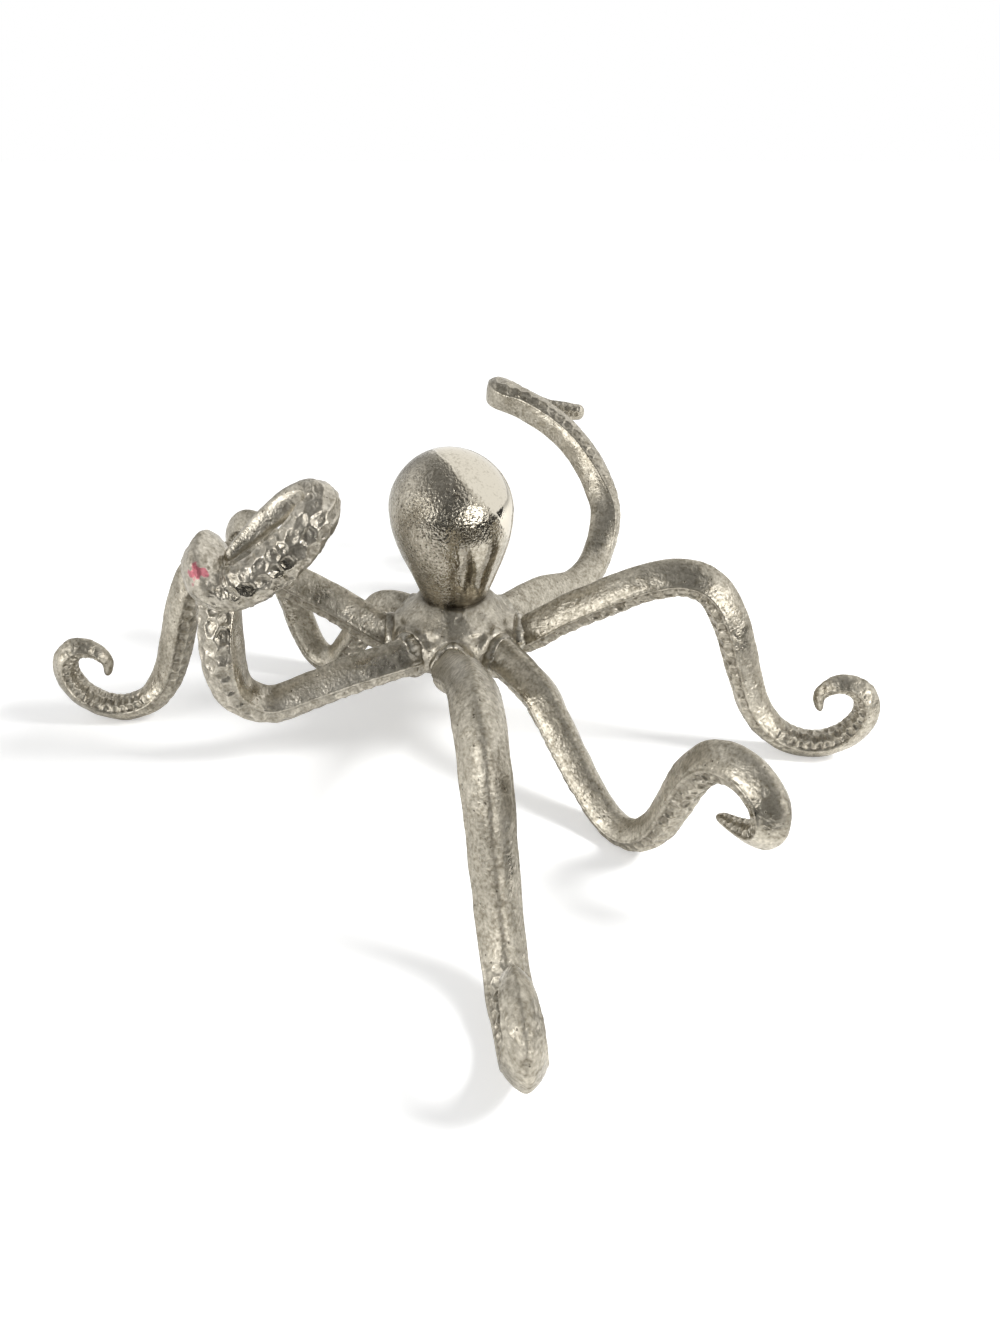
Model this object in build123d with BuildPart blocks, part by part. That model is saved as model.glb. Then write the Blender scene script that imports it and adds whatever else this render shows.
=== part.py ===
from build123d import *
import math
import os

# Cast metal octopus ornament: an egg-shaped mantle on a hub, with eight curled arms
# butted on the hub's flats and welded round their roots. Millimetres, +Z up. The origin
# is on the table, under the middle of the whole ornament, and the front faces -Y.

# Stance: where the hub's axis stands, measured from the middle of the whole ornament
HUB_X = 1.325
HUB_Y = 14.453

# Hub
HUB_APOTHEM = 27.0  # axis to each of the flats that carry the arms
HUB_RADIUS = 29.6  # roundness between the flats
HUB_MIDDLE = 46.5  # height of the middle of the flats above the table
HUB_WALL = 22.0  # height of the upright wall
HUB_CROWN = 3.2  # rise of the crown from the wall to the mantle's seat
HUB_BELLY = 4.5  # drop of the belly below the wall
SEAT_RADIUS = 17.5  # flat on the crown that carries the mantle
BELLY_RADIUS = 14.0

# Mantle
NECK_RADIUS = 13.4
NECK_STRAIGHT = 2.4
NECK_FLARE_SHARE = 0.30  # how fast the mantle opens above the neck
CHEEK_RADIUS = 20.4
CHEEK_SHARE = 0.30  # height where the mantle has the cheek's radius, of its height
MANTLE_RADIUS = 25.8
MANTLE_HEIGHT = 68.0
WIDEST_SHARE = 0.63  # height of the widest point, of the mantle's height

# Welds
WELD_SIZE = 1.9  # leg of the bead round each arm root
NECK_WELD_SIZE = 2.2
WELD_FIT = 0.05  # room between a bead and the piece it goes round
WELD_LIP = 0.3  # thickness of a bead at its thin edge

# Arm section: two flanks that meet in a narrow crest, and a wide sucker face
ROOT_WIDTH = 18.4
ROOT_DEPTH = 17.2
ROOT_STUB = 4.0  # straight length before an arm starts to bend
ROOT_SWING = 62.0  # run over which an arm swings from its flat's direction to its heading
CREST_SHARE = 0.05  # half of the crest's flat, of the width
FACE_SHARE = 0.34  # half of the sucker face, of the width
RIDGE_SHARE = 0.06  # how far the side ridges are from mid-depth towards the face, of the depth
SPAN_COUNT = 2  # loft spans from one bend of a route to the next

# Feet
FOOT_FLAT = 0.8  # depth worn off an arm where it stands on the table
FOOT_GIRTH_SHARE = 0.75  # girth of an arm at its foot, of the root's

# Arms: reach from the hub's axis, and height of the centre line at the highest bend
ARCH_REACH = 177.0
ARCH_HEIGHT = 81.0
FRONT_REACH = 208.5
DIP_REACH = 173.0
DIP_HEIGHT = 63.0
HUMP_REACH = 132.0
HUMP_HEIGHT = 72.0
CURL_REACH = 100.0
CURL_HEIGHT = 118.0
SWEEP_REACH = 150.0
SWEEP_HEIGHT = 116.0

# Routes: run along the heading, side to its left and rise above the foot, as shares of the
# arm's reach and height, and the girth there as a share of the root's
ARCH_ROUTE_SHARES = [
    (0.270, 0.000, 0.700, 0.99),
    (0.365, 0.000, 0.835, 0.98),
    (0.460, 0.000, 0.955, 0.97),
    (0.545, 0.000, 1.000, 0.96),
    (0.615, 0.000, 0.930, 0.94),
    (0.665, 0.000, 0.730, 0.92),
    (0.702, 0.000, 0.470, 0.88),
    (0.740, 0.000, 0.240, 0.84),
    (0.790, 0.000, 0.080, 0.79),
    (0.855, 0.000, 0.000, 0.75),
    (0.920, 0.000, 0.012, 0.73),
    (0.972, 0.000, 0.095, 0.72),
    (1.000, 0.000, 0.225, 0.70),
    (0.992, 0.000, 0.345, 0.65),
    (0.955, 0.000, 0.420, 0.58),
    (0.912, 0.000, 0.405, 0.47),
    (0.885, 0.000, 0.325, 0.33),
    (0.895, 0.000, 0.225, 0.14),
]
DIP_ROUTE_SHARES = [
    (0.310, 0.000, 0.630, 0.93),
    (0.375, 0.000, 0.500, 0.88),
    (0.440, 0.000, 0.335, 0.83),
    (0.500, 0.000, 0.180, 0.79),
    (0.560, 0.000, 0.055, 0.76),
    (0.620, 0.000, 0.000, 0.75),
    (0.680, 0.000, 0.070, 0.76),
    (0.725, 0.000, 0.235, 0.80),
    (0.760, 0.000, 0.480, 0.85),
    (0.800, 0.000, 0.760, 0.88),
    (0.855, 0.000, 0.950, 0.89),
    (0.925, 0.000, 1.000, 0.88),
    (0.980, 0.000, 0.920, 0.85),
    (1.000, 0.000, 0.770, 0.79),
    (0.985, 0.000, 0.650, 0.68),
    (0.940, 0.000, 0.590, 0.50),
    (0.870, 0.000, 0.575, 0.16),
]
HUMP_ROUTE_SHARES = [
    (0.335, 0.000, 0.595, 0.98),
    (0.415, 0.000, 0.440, 0.94),
    (0.485, 0.000, 0.255, 0.89),
    (0.552, 0.000, 0.085, 0.85),
    (0.622, 0.000, 0.078, 0.83),
    (0.680, 0.000, 0.215, 0.84),
    (0.730, 0.000, 0.480, 0.86),
    (0.780, 0.000, 0.760, 0.88),
    (0.850, 0.000, 0.960, 0.89),
    (0.930, 0.000, 0.985, 0.87),
    (0.990, 0.000, 0.880, 0.83),
    (1.000, 0.000, 0.730, 0.75),
    (0.955, 0.000, 0.625, 0.62),
    (0.880, 0.000, 0.600, 0.44),
    (0.815, 0.000, 0.640, 0.16),
]
CURL_ROUTE_SHARES = [
    (0.488, -0.009, 0.308, 0.99),
    (0.647, 0.004, 0.253, 0.98),
    (0.803, 0.007, 0.202, 0.97),
    (0.902, 0.000, 0.222, 0.98),
    (0.966, 0.000, 0.289, 0.98),
    (0.983, 0.000, 0.398, 0.99),
    (0.977, -0.018, 0.504, 0.99),
    (0.962, -0.058, 0.609, 0.97),
    (0.968, -0.088, 0.713, 0.93),
    (0.975, -0.049, 0.812, 0.88),
    (0.990, 0.044, 0.862, 0.86),
    (1.022, 0.150, 0.859, 0.86),
    (1.017, 0.214, 0.804, 0.81),
    (0.958, 0.260, 0.772, 0.77),
    (0.881, 0.280, 0.785, 0.78),
    (0.790, 0.268, 0.851, 0.80),
    (0.683, 0.258, 0.921, 0.79),
    (0.618, 0.277, 0.981, 0.71),
    (0.567, 0.224, 1.041, 0.61),
    (0.561, 0.133, 1.045, 0.56),
    (0.623, 0.091, 1.012, 0.54),
    (0.723, 0.088, 0.973, 0.51),
    (0.830, 0.093, 0.897, 0.38),
    (0.910, 0.098, 0.837, 0.15),
]
SWEEP_ROUTE_SHARES = [
    (0.385, 0.008, 0.358, 0.99),
    (0.523, 0.000, 0.312, 0.98),
    (0.635, 0.000, 0.322, 0.97),
    (0.722, 0.011, 0.393, 0.96),
    (0.796, 0.037, 0.519, 0.95),
    (0.835, 0.083, 0.610, 0.94),
    (0.859, 0.149, 0.703, 0.93),
    (0.869, 0.230, 0.797, 0.92),
    (0.869, 0.334, 0.874, 0.90),
    (0.866, 0.451, 0.936, 0.88),
    (0.888, 0.539, 0.953, 0.84),
    (0.965, 0.593, 0.930, 0.78),
    (1.055, 0.579, 0.899, 0.68),
    (1.118, 0.514, 0.866, 0.56),
    (1.135, 0.432, 0.850, 0.38),
    (1.136, 0.368, 0.844, 0.15),
]

# The way the crested back faces at some rows of a route, in run, side and rise. An arm with no such
# rows keeps its ridges level.
CURL_BACK_SHARES = {
    0: (0.3, -0.12, 0.95), 2: (0.1, -0.22, 0.97), 4: (-0.89, -0.29, 0.36), 6: (-0.93, -0.33, -0.1),
    7: (-0.81, -0.56, -0.1), 8: (-0.54, -0.85, 0.07), 9: (-0.16, -0.79, 0.59), 10: (0, -0.24, 0.96),
    11: (0.24, 0.4, 0.89), 12: (0.47, 0.68, 0.57), 13: (0.42, 0.88, 0.2), 14: (0.17, 0.98, 0.04),
    16: (0.13, 0.99, -0.04), 18: (-0.47, 0.55, 0.7), 20: (0, -0.55, 0.84), 23: (0.6, -0.38, 0.7),
}
SWEEP_BACK_SHARES = {
    0: (0.2, 0, 1), 2: (-0.3, 0.1, 1), 3: (-0.6, 0.2, 0.75), 4: (-0.8, 0.35, 0.3), 5: (-0.75, 0.55, -0.1),
    6: (-0.7, 0.6, -0.35), 8: (-0.55, 0.5, -0.6), 9: (-0.45, 0.35, -0.75), 10: (-0.3, 0.6, -0.7),
    11: (0, 0.9, -0.4), 12: (0.5, 0.85, -0.2), 13: (0.9, 0.4, -0.1), 14: (1, 0.1, 0), 15: (1, 0, 0),
}

# Where the crest changes sides, of the route: an arched arm turns it from over the bend to under the foot
ARCH_SWAP_SHARE = 0.47
NO_SWAP_SHARE = 2  # past the tip

# How far an arm leans to its left as it rises, of its rise
FRONT_LEAN_SHARE = -0.045
NO_LEAN_SHARE = 0

# The arms in order round the hub: name, heading in degrees from +X, reach, height, lean, route, back and
# swap. The flats start at the front.
ARMS = [
    ("arm_front", -82.5, FRONT_REACH, ARCH_HEIGHT, FRONT_LEAN_SHARE, ARCH_ROUTE_SHARES, {}, ARCH_SWAP_SHARE),
    ("arm_front_right", -52, DIP_REACH, DIP_HEIGHT, NO_LEAN_SHARE, DIP_ROUTE_SHARES, {}, NO_SWAP_SHARE),
    ("arm_right", -10, ARCH_REACH, ARCH_HEIGHT, NO_LEAN_SHARE, ARCH_ROUTE_SHARES, {}, ARCH_SWAP_SHARE),
    (
        "arm_back_right", 50, SWEEP_REACH, SWEEP_HEIGHT, NO_LEAN_SHARE,
        SWEEP_ROUTE_SHARES, SWEEP_BACK_SHARES, NO_SWAP_SHARE,
    ),
    ("arm_back", 92, ARCH_REACH, ARCH_HEIGHT, NO_LEAN_SHARE, ARCH_ROUTE_SHARES, {}, ARCH_SWAP_SHARE),
    ("arm_back_left", 147, HUMP_REACH, HUMP_HEIGHT, NO_LEAN_SHARE, HUMP_ROUTE_SHARES, {}, NO_SWAP_SHARE),
    ("arm_left", 179, ARCH_REACH, ARCH_HEIGHT, NO_LEAN_SHARE, ARCH_ROUTE_SHARES, {}, ARCH_SWAP_SHARE),
    (
        "arm_front_left", -160, CURL_REACH, CURL_HEIGHT, NO_LEAN_SHARE,
        CURL_ROUTE_SHARES, CURL_BACK_SHARES, NO_SWAP_SHARE,
    ),
]
FRONT_FLAT_ANGLE = -90  # direction of the front flat
FLAT_STEP_ANGLE = 360 / len(ARMS)

hub_axis = Vector(HUB_X, HUB_Y)
crown_height = HUB_MIDDLE + HUB_WALL / 2 + HUB_CROWN
foot_rise = ROOT_DEPTH * FOOT_GIRTH_SHARE / 2 - FOOT_FLAT
upright = Plane(hub_axis, x_dir=(1, 0, 0), z_dir=(0, -1, 0))
turning_axis = Axis(hub_axis, (0, 0, 1))


def direction(angle):
    """Unit vector in plan at an angle from +X."""
    return Vector(math.cos(math.radians(angle)), math.sin(math.radians(angle)))


def flat_plane(angle):
    """Plane of a hub flat, with X along the flat, Y up and Z outwards."""
    outwards = direction(angle)
    origin = hub_axis + outwards * HUB_APOTHEM + Vector(0, 0, HUB_MIDDLE)
    return Plane(origin, x_dir=Vector(0, 0, 1).cross(outwards), z_dir=outwards)


def blend(keys, row):
    """Vector between the two keyed rows on either side of a row."""
    low = max(key for key in keys if key <= row)
    high = min(key for key in keys if key >= row)
    share = (row - low) / (high - low) if high > low else 0
    return Vector(*keys[low]) * (1 - share) + Vector(*keys[high]) * share


def through(points, index, share):
    """Point of a smooth curve through points, a share of the way from one to the next."""
    before, start, end, after = (points[min(max(index + step, 0), len(points) - 1)] for step in (-1, 0, 1, 2))
    square = before * 2 - start * 5 + end * 4 - after
    cube = start * 3 - before - end * 3 + after
    rise = (end - before) * share + square * share**2 + cube * share**3
    return start + rise * (1 / 2)


def stations(angle, heading, reach, height, lean, route, back, swap):
    """Planes of an arm's loft sections with the girth share and the crest's side at each, to the tip."""
    ahead = direction(heading)
    aside = Vector(0, 0, 1).cross(ahead)
    seat = flat_plane(angle)
    points = [seat.origin, seat.origin + seat.z_dir * ROOT_STUB]
    girths = [1, 1]
    backs = {-1: (0, 0, 1)}
    start = points[1] - hub_axis
    for run, side, rise, girth in route:
        lift = foot_rise + rise * (height - foot_rise)
        swung = min(max((run * reach - start.dot(ahead)) / ROOT_SWING, 0), 1)
        off = start.dot(aside) * (1 - 3 * swung**2 + 2 * swung**3)
        off += side * reach + lean * (lift - foot_rise)
        points.append(hub_axis + ahead * (run * reach) + aside * off + Vector(0, 0, lift))
        girths.append(girth)
    for row, (run, side, rise) in back.items():
        backs[row] = tuple(ahead * run + aside * side + Vector(0, 0, rise))
    planes = [(seat, 1, 1), (Plane(points[1], x_dir=seat.x_dir, z_dir=seat.z_dir), 1, 1)]
    for index in range(1, len(points) - 1):
        for span in range(1, SPAN_COUNT + 1):
            share = span / SPAN_COUNT
            step = 1 / SPAN_COUNT / 2
            here = through(points, index, share)
            along = here - through(points, index, share - step)
            if share < 1:
                along = through(points, index, share + step) - through(points, index, share - step)
            elif index + 2 < len(points):
                along = through(points, index + 1, step) - through(points, index, share - step)
            row = index - 2 + share
            across = blend(backs, row).cross(along) if back else aside
            girth = girths[index] + (girths[index + 1] - girths[index]) * share
            crest_side = min(max(swap * (len(route) - 1) - row, -1), 1)
            planes.append((Plane(here, x_dir=across, z_dir=along), girth, crest_side))
    return planes


def section(width, depth, crest_side=1):
    """Outline of an arm, with its crest on top where crest_side is 1 and below where it is -1."""
    top_half = width * (CREST_SHARE * (1 + crest_side) + FACE_SHARE * (1 - crest_side)) / 2
    low_half = width * (FACE_SHARE * (1 + crest_side) + CREST_SHARE * (1 - crest_side)) / 2
    ridge = -depth * RIDGE_SHARE * crest_side
    with BuildSketch() as outline:
        with BuildLine():
            Polyline(
                (-low_half, -depth / 2),
                (low_half, -depth / 2),
                (width / 2, ridge),
                (top_half, depth / 2),
                (-top_half, depth / 2),
                (-width / 2, ridge),
                close=True,
            )
        make_face()
    return outline.sketch_local


def finish(piece, name):
    """Label a finished piece and write it."""
    piece.part.label = name
    export_step(piece.part, f"parts/{name}.step")
    print(name, len(piece.part.solids()), piece.part.is_valid, round(piece.part.volume))


os.makedirs("parts", exist_ok=True)

# Hub: a rounded boss with a flat for each arm, a crown for the mantle and a shallow belly
with BuildPart() as hub:
    with BuildSketch(upright):
        with BuildLine():
            wall_top = HUB_MIDDLE + HUB_WALL / 2
            wall_foot = HUB_MIDDLE - HUB_WALL / 2
            Polyline(
                (0, crown_height),
                (SEAT_RADIUS, crown_height),
                (HUB_RADIUS, wall_top),
                (HUB_RADIUS, wall_foot),
                (BELLY_RADIUS, wall_foot - HUB_BELLY),
                (0, wall_foot - HUB_BELLY),
                close=True,
            )
        make_face()
    revolve(axis=turning_axis)
    for number in range(len(ARMS)):
        with BuildSketch(flat_plane(FRONT_FLAT_ANGLE + number * FLAT_STEP_ANGLE)):
            Rectangle(HUB_RADIUS * 2, HUB_WALL * 2)
        extrude(amount=HUB_RADIUS, mode=Mode.SUBTRACT)
finish(hub, "hub")

# Mantle: an egg on a short straight neck, seated on the crown
with BuildPart() as mantle:
    with BuildSketch(upright):
        with BuildLine():
            neck_top = (NECK_RADIUS, crown_height + NECK_STRAIGHT)
            cheek = (CHEEK_RADIUS, crown_height + MANTLE_HEIGHT * CHEEK_SHARE)
            widest = (MANTLE_RADIUS, crown_height + MANTLE_HEIGHT * WIDEST_SHARE)
            summit = (0, crown_height + MANTLE_HEIGHT)
            Line((0, crown_height), (NECK_RADIUS, crown_height))
            Line((NECK_RADIUS, crown_height), neck_top)
            Spline(neck_top, cheek, widest, tangents=((NECK_FLARE_SHARE, 1), (0, 1)))
            Spline(widest, summit, tangents=((0, 1), (-1, 0)))
            Line(summit, (0, crown_height))
        make_face()
    revolve(axis=turning_axis)
finish(mantle, "mantle")

# Bead where the mantle's neck meets the crown
with BuildPart() as neck_weld:
    with BuildSketch(upright):
        with BuildLine():
            inside = NECK_RADIUS + WELD_FIT
            Polyline(
                (inside, crown_height),
                (inside + NECK_WELD_SIZE, crown_height),
                (inside + WELD_LIP, crown_height + NECK_STRAIGHT),
                (inside, crown_height + NECK_STRAIGHT),
                close=True,
            )
        make_face()
    revolve(axis=turning_axis)
finish(neck_weld, "neck_weld")

for number, (name, *way) in enumerate(ARMS):
    angle = FRONT_FLAT_ANGLE + number * FLAT_STEP_ANGLE

    # Arm: one loft along its route, worn flat where it stands on the table
    with BuildPart() as arm:
        for plane, girth, crest_side in stations(angle, *way):
            with BuildSketch(plane):
                add(section(ROOT_WIDTH * girth, ROOT_DEPTH * girth, crest_side))
        loft(ruled=True)
        if arm.part.bounding_box().min.Z < 0:
            split(bisect_by=Plane.XY, keep=Keep.TOP)
    finish(arm, name)

    # Bead round the arm's root, seated on the flat
    with BuildPart() as weld:
        with BuildSketch(flat_plane(angle)):
            add(section(ROOT_WIDTH + 2 * WELD_SIZE, ROOT_DEPTH + 2 * WELD_SIZE))
        with BuildSketch(flat_plane(angle).offset(WELD_SIZE)):
            add(section(ROOT_WIDTH + 2 * (WELD_FIT + WELD_LIP), ROOT_DEPTH + 2 * (WELD_FIT + WELD_LIP)))
        loft(ruled=True)
        with BuildSketch(flat_plane(angle)):
            add(section(ROOT_WIDTH + 2 * WELD_FIT, ROOT_DEPTH + 2 * WELD_FIT))
        extrude(amount=WELD_SIZE, mode=Mode.SUBTRACT)
    finish(weld, name.replace("arm", "weld"))
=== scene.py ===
"""Cast metal octopus ornament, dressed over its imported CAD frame.

A pitted, part-polished mantle stands on a lumpy hub, and eight curled arms with a crested back
and a face of shallow suckers are joined to it by rough beads. Lengths are in metres.
"""
import logging
import math
from abc import ABC, abstractmethod
from dataclasses import dataclass, field
from enum import Enum
from typing import Any, ClassVar, Optional, Union

import bpy
import numpy as np
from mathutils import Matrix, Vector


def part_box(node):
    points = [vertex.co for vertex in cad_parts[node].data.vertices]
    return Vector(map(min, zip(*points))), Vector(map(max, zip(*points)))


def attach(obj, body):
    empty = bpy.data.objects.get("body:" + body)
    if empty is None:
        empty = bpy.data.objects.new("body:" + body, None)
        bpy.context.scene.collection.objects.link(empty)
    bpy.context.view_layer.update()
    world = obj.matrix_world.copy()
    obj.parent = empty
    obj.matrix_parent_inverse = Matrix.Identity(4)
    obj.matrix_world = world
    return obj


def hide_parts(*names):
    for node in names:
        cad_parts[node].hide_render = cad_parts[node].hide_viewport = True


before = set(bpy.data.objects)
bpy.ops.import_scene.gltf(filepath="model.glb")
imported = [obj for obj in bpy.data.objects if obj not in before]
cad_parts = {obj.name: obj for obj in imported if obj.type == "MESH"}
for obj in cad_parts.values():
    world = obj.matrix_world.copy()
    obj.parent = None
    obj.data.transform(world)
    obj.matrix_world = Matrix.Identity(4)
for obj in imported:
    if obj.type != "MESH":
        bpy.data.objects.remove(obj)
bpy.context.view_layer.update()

MM = 0.001
UP = np.array([0.0, 0.0, 1.0])
LOG = logging.getLogger("octopus")

Array = np.ndarray
Pair = tuple[float, float]
Triple = tuple[float, float, float]
Lumps = tuple[Pair, ...]  # size and height of each kind of lump
Form = tuple[Array, Array, Optional[Array]]  # places, dirt and painted shade, and rawness of vertices
Inputs = Optional[dict[Any, Any]]
Number = Union[float, "Value"]


class Slot(Enum):
    """Names of the material slots that each kind of piece keeps."""

    MANTLE = "mantle_metal"
    ARM = "arm_metal"
    HUB = "hub_metal"
    WELD = "weld_metal"


class Value:
    """A node socket that carries a number; arithmetic on it adds Math nodes."""

    def __init__(self, graph: "Graph", socket: bpy.types.NodeSocket) -> None:
        """Keep the socket, and the graph that new Math nodes go into."""
        self.graph = graph
        self.socket = socket

    def _math(self, operation: str, *values: Number, clamp: bool = False) -> "Value":
        """Result of a new Math node, held between 0 and 1 if clamped."""
        inputs = dict(enumerate(values))
        return self.graph.value("Math", inputs, operation=operation, use_clamp=clamp)

    def __add__(self, other: Number) -> "Value":
        """Sum."""
        return self._math("ADD", self, other)

    def __radd__(self, other: Number) -> "Value":
        """Sum, reflected."""
        return self._math("ADD", other, self)

    def __sub__(self, other: Number) -> "Value":
        """Difference."""
        return self._math("SUBTRACT", self, other)

    def __rsub__(self, other: Number) -> "Value":
        """Difference, reflected."""
        return self._math("SUBTRACT", other, self)

    def __mul__(self, other: Number) -> "Value":
        """Product."""
        return self._math("MULTIPLY", self, other)

    def __or__(self, other: Number) -> "Value":
        """The larger of two values, the union of two masks."""
        return self._math("MAXIMUM", self, other)

    def clamped(self) -> "Value":
        """Value held between 0 and 1."""
        return self._math("ADD", self, 0.0, clamp=True)

    def step(self, low: float, high: float) -> "Value":
        """Soft step from 0 at low to 1 at high.

        Args:
            low: the value that gives 0.
            high: the value that gives 1; it may be below low.

        Returns:
            The stepped value.
        """
        inputs = {0: self, 1: low, 2: high, 3: 0.0, 4: 1.0}
        if high < low:
            inputs = {0: self, 1: high, 2: low, 3: 1.0, 4: 0.0}
        return self.graph.value("MapRange", inputs, interpolation_type="SMOOTHSTEP")


class Graph:
    """Node tree of a material or world, filled by one node-making method."""

    PIT_FLOOR = 0.35  # radius of a pit's floor, of the pit's
    PIT_FADE = 0.8  # where a cell's pit is whole, of the share of cells with pits

    def __init__(self, tree: bpy.types.NodeTree) -> None:
        """Keep the tree, emptied."""
        tree.nodes.clear()
        self.tree = tree

    @classmethod
    def of_material(cls, name: str) -> tuple[bpy.types.Material, "Graph"]:
        """New material and its graph."""
        material = bpy.data.materials.new(name)
        material.use_nodes = True
        return material, cls(material.node_tree)

    def node(self, kind: str, inputs: Inputs = None, **settings: Any) -> bpy.types.Node:
        """Add a node.

        Args:
            kind: the node's type, without its prefix.
            inputs: values, sockets or Values for its sockets, by name or index.
            settings: its properties, set first.

        Returns:
            The new node.
        """
        node = self.tree.nodes.new("ShaderNode" + kind)
        for name, setting in settings.items():
            setattr(node, name, setting)
        for name, given in (inputs or {}).items():
            source = given.socket if isinstance(given, Value) else given
            if isinstance(source, bpy.types.NodeSocket):
                self.tree.links.new(source, node.inputs[name])
            else:
                node.inputs[name].default_value = source
        return node

    def value(self, kind: str, inputs: Inputs = None, output: Any = 0, **settings: Any) -> Value:
        """One output of a new node, by name or index."""
        return Value(self, self.node(kind, inputs, **settings).outputs[output])

    def mix(self, factor: Value, first: Any, second: Triple) -> bpy.types.NodeSocket:
        """Socket of a colour mixed with a share of a second one."""
        inputs = {0: factor, 6: first, 7: (*second, 1.0)}
        return self.node("Mix", inputs, data_type="RGBA").outputs[2]

    def vector(self, operation: str, *vectors: Any) -> Value:
        """Number that a vector operation gives, such as a distance."""
        return self.value("VectorMath", dict(enumerate(vectors)), "Value", operation=operation)

    def towards(self, way: Any, target: Triple) -> Value:
        """How nearly a direction points at a target, from -1 to 1."""
        return self.vector("DOT_PRODUCT", way, tuple(unit(np.array(target))))

    def part(self, vector: Any, axis: int) -> Value:
        """One coordinate of a vector."""
        return self.value("SeparateXYZ", {0: vector}, axis)

    def grain(self, coords: Any, scale: float, detail: float, rough: float) -> Value:
        """Noise between 0 and 1, with a scale in features per metre."""
        inputs = {"Vector": coords, "Scale": scale, "Detail": detail, "Roughness": rough}
        return self.value("TexNoise", inputs)

    def pits(self, coords: Any, scale: float, share: float, size: float) -> Value:
        """Small round pits in some of the cells of a cell pattern.

        Args:
            coords: the coordinates' socket.
            scale: the cells per metre.
            share: the share of the cells that hold a pit.
            size: a pit's radius, of the cell's size.

        Returns:
            A mask that is 1 inside a pit.
        """
        cells = self.node("TexVoronoi", {"Vector": coords, "Scale": scale}, feature="F1")
        pick = self.value("SeparateColor", {0: cells.outputs["Color"]})
        inside = Value(self, cells.outputs["Distance"]).step(size, size * self.PIT_FLOOR)
        return inside * pick.step(share, share * self.PIT_FADE)


class Ground:
    """Coordinates, marks and noises that a metal finish is mixed from."""

    OCTAVES = ((3.0, 0.55), (2.0, 0.5), (1.5, 0.5))  # detail and roughness of each noise
    MEAN = 0.5

    def __init__(self, graph: Graph, scales: Triple) -> None:
        """Add the nodes.

        Args:
            graph: the material's graph.
            scales: clouds, mottling and grain, in features per metre.
        """
        self.graph = graph
        self.coords = graph.node("TexCoord").outputs["Object"]
        # dirt and painted shade of each vertex
        self.dirt_and_shade = graph.value("Attribute", None, "Fac", attribute_name="dirt_and_shade")
        self.raw = graph.value("Attribute", None, "Fac", attribute_name="raw")
        self.noises = [
            graph.grain(self.coords, scale, *octaves) for scale, octaves in zip(scales, self.OCTAVES)
        ]
        self.cloud, self.mottle, self.fine = self.noises

    def blend(self, *weights: float) -> Value:
        """Sum of the noises about their mean, each with its weight."""
        pairs = zip(self.noises, weights)
        cloud, mottle, fine = ((noise - self.MEAN) * weight for noise, weight in pairs)
        return cloud + mottle + fine


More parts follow.
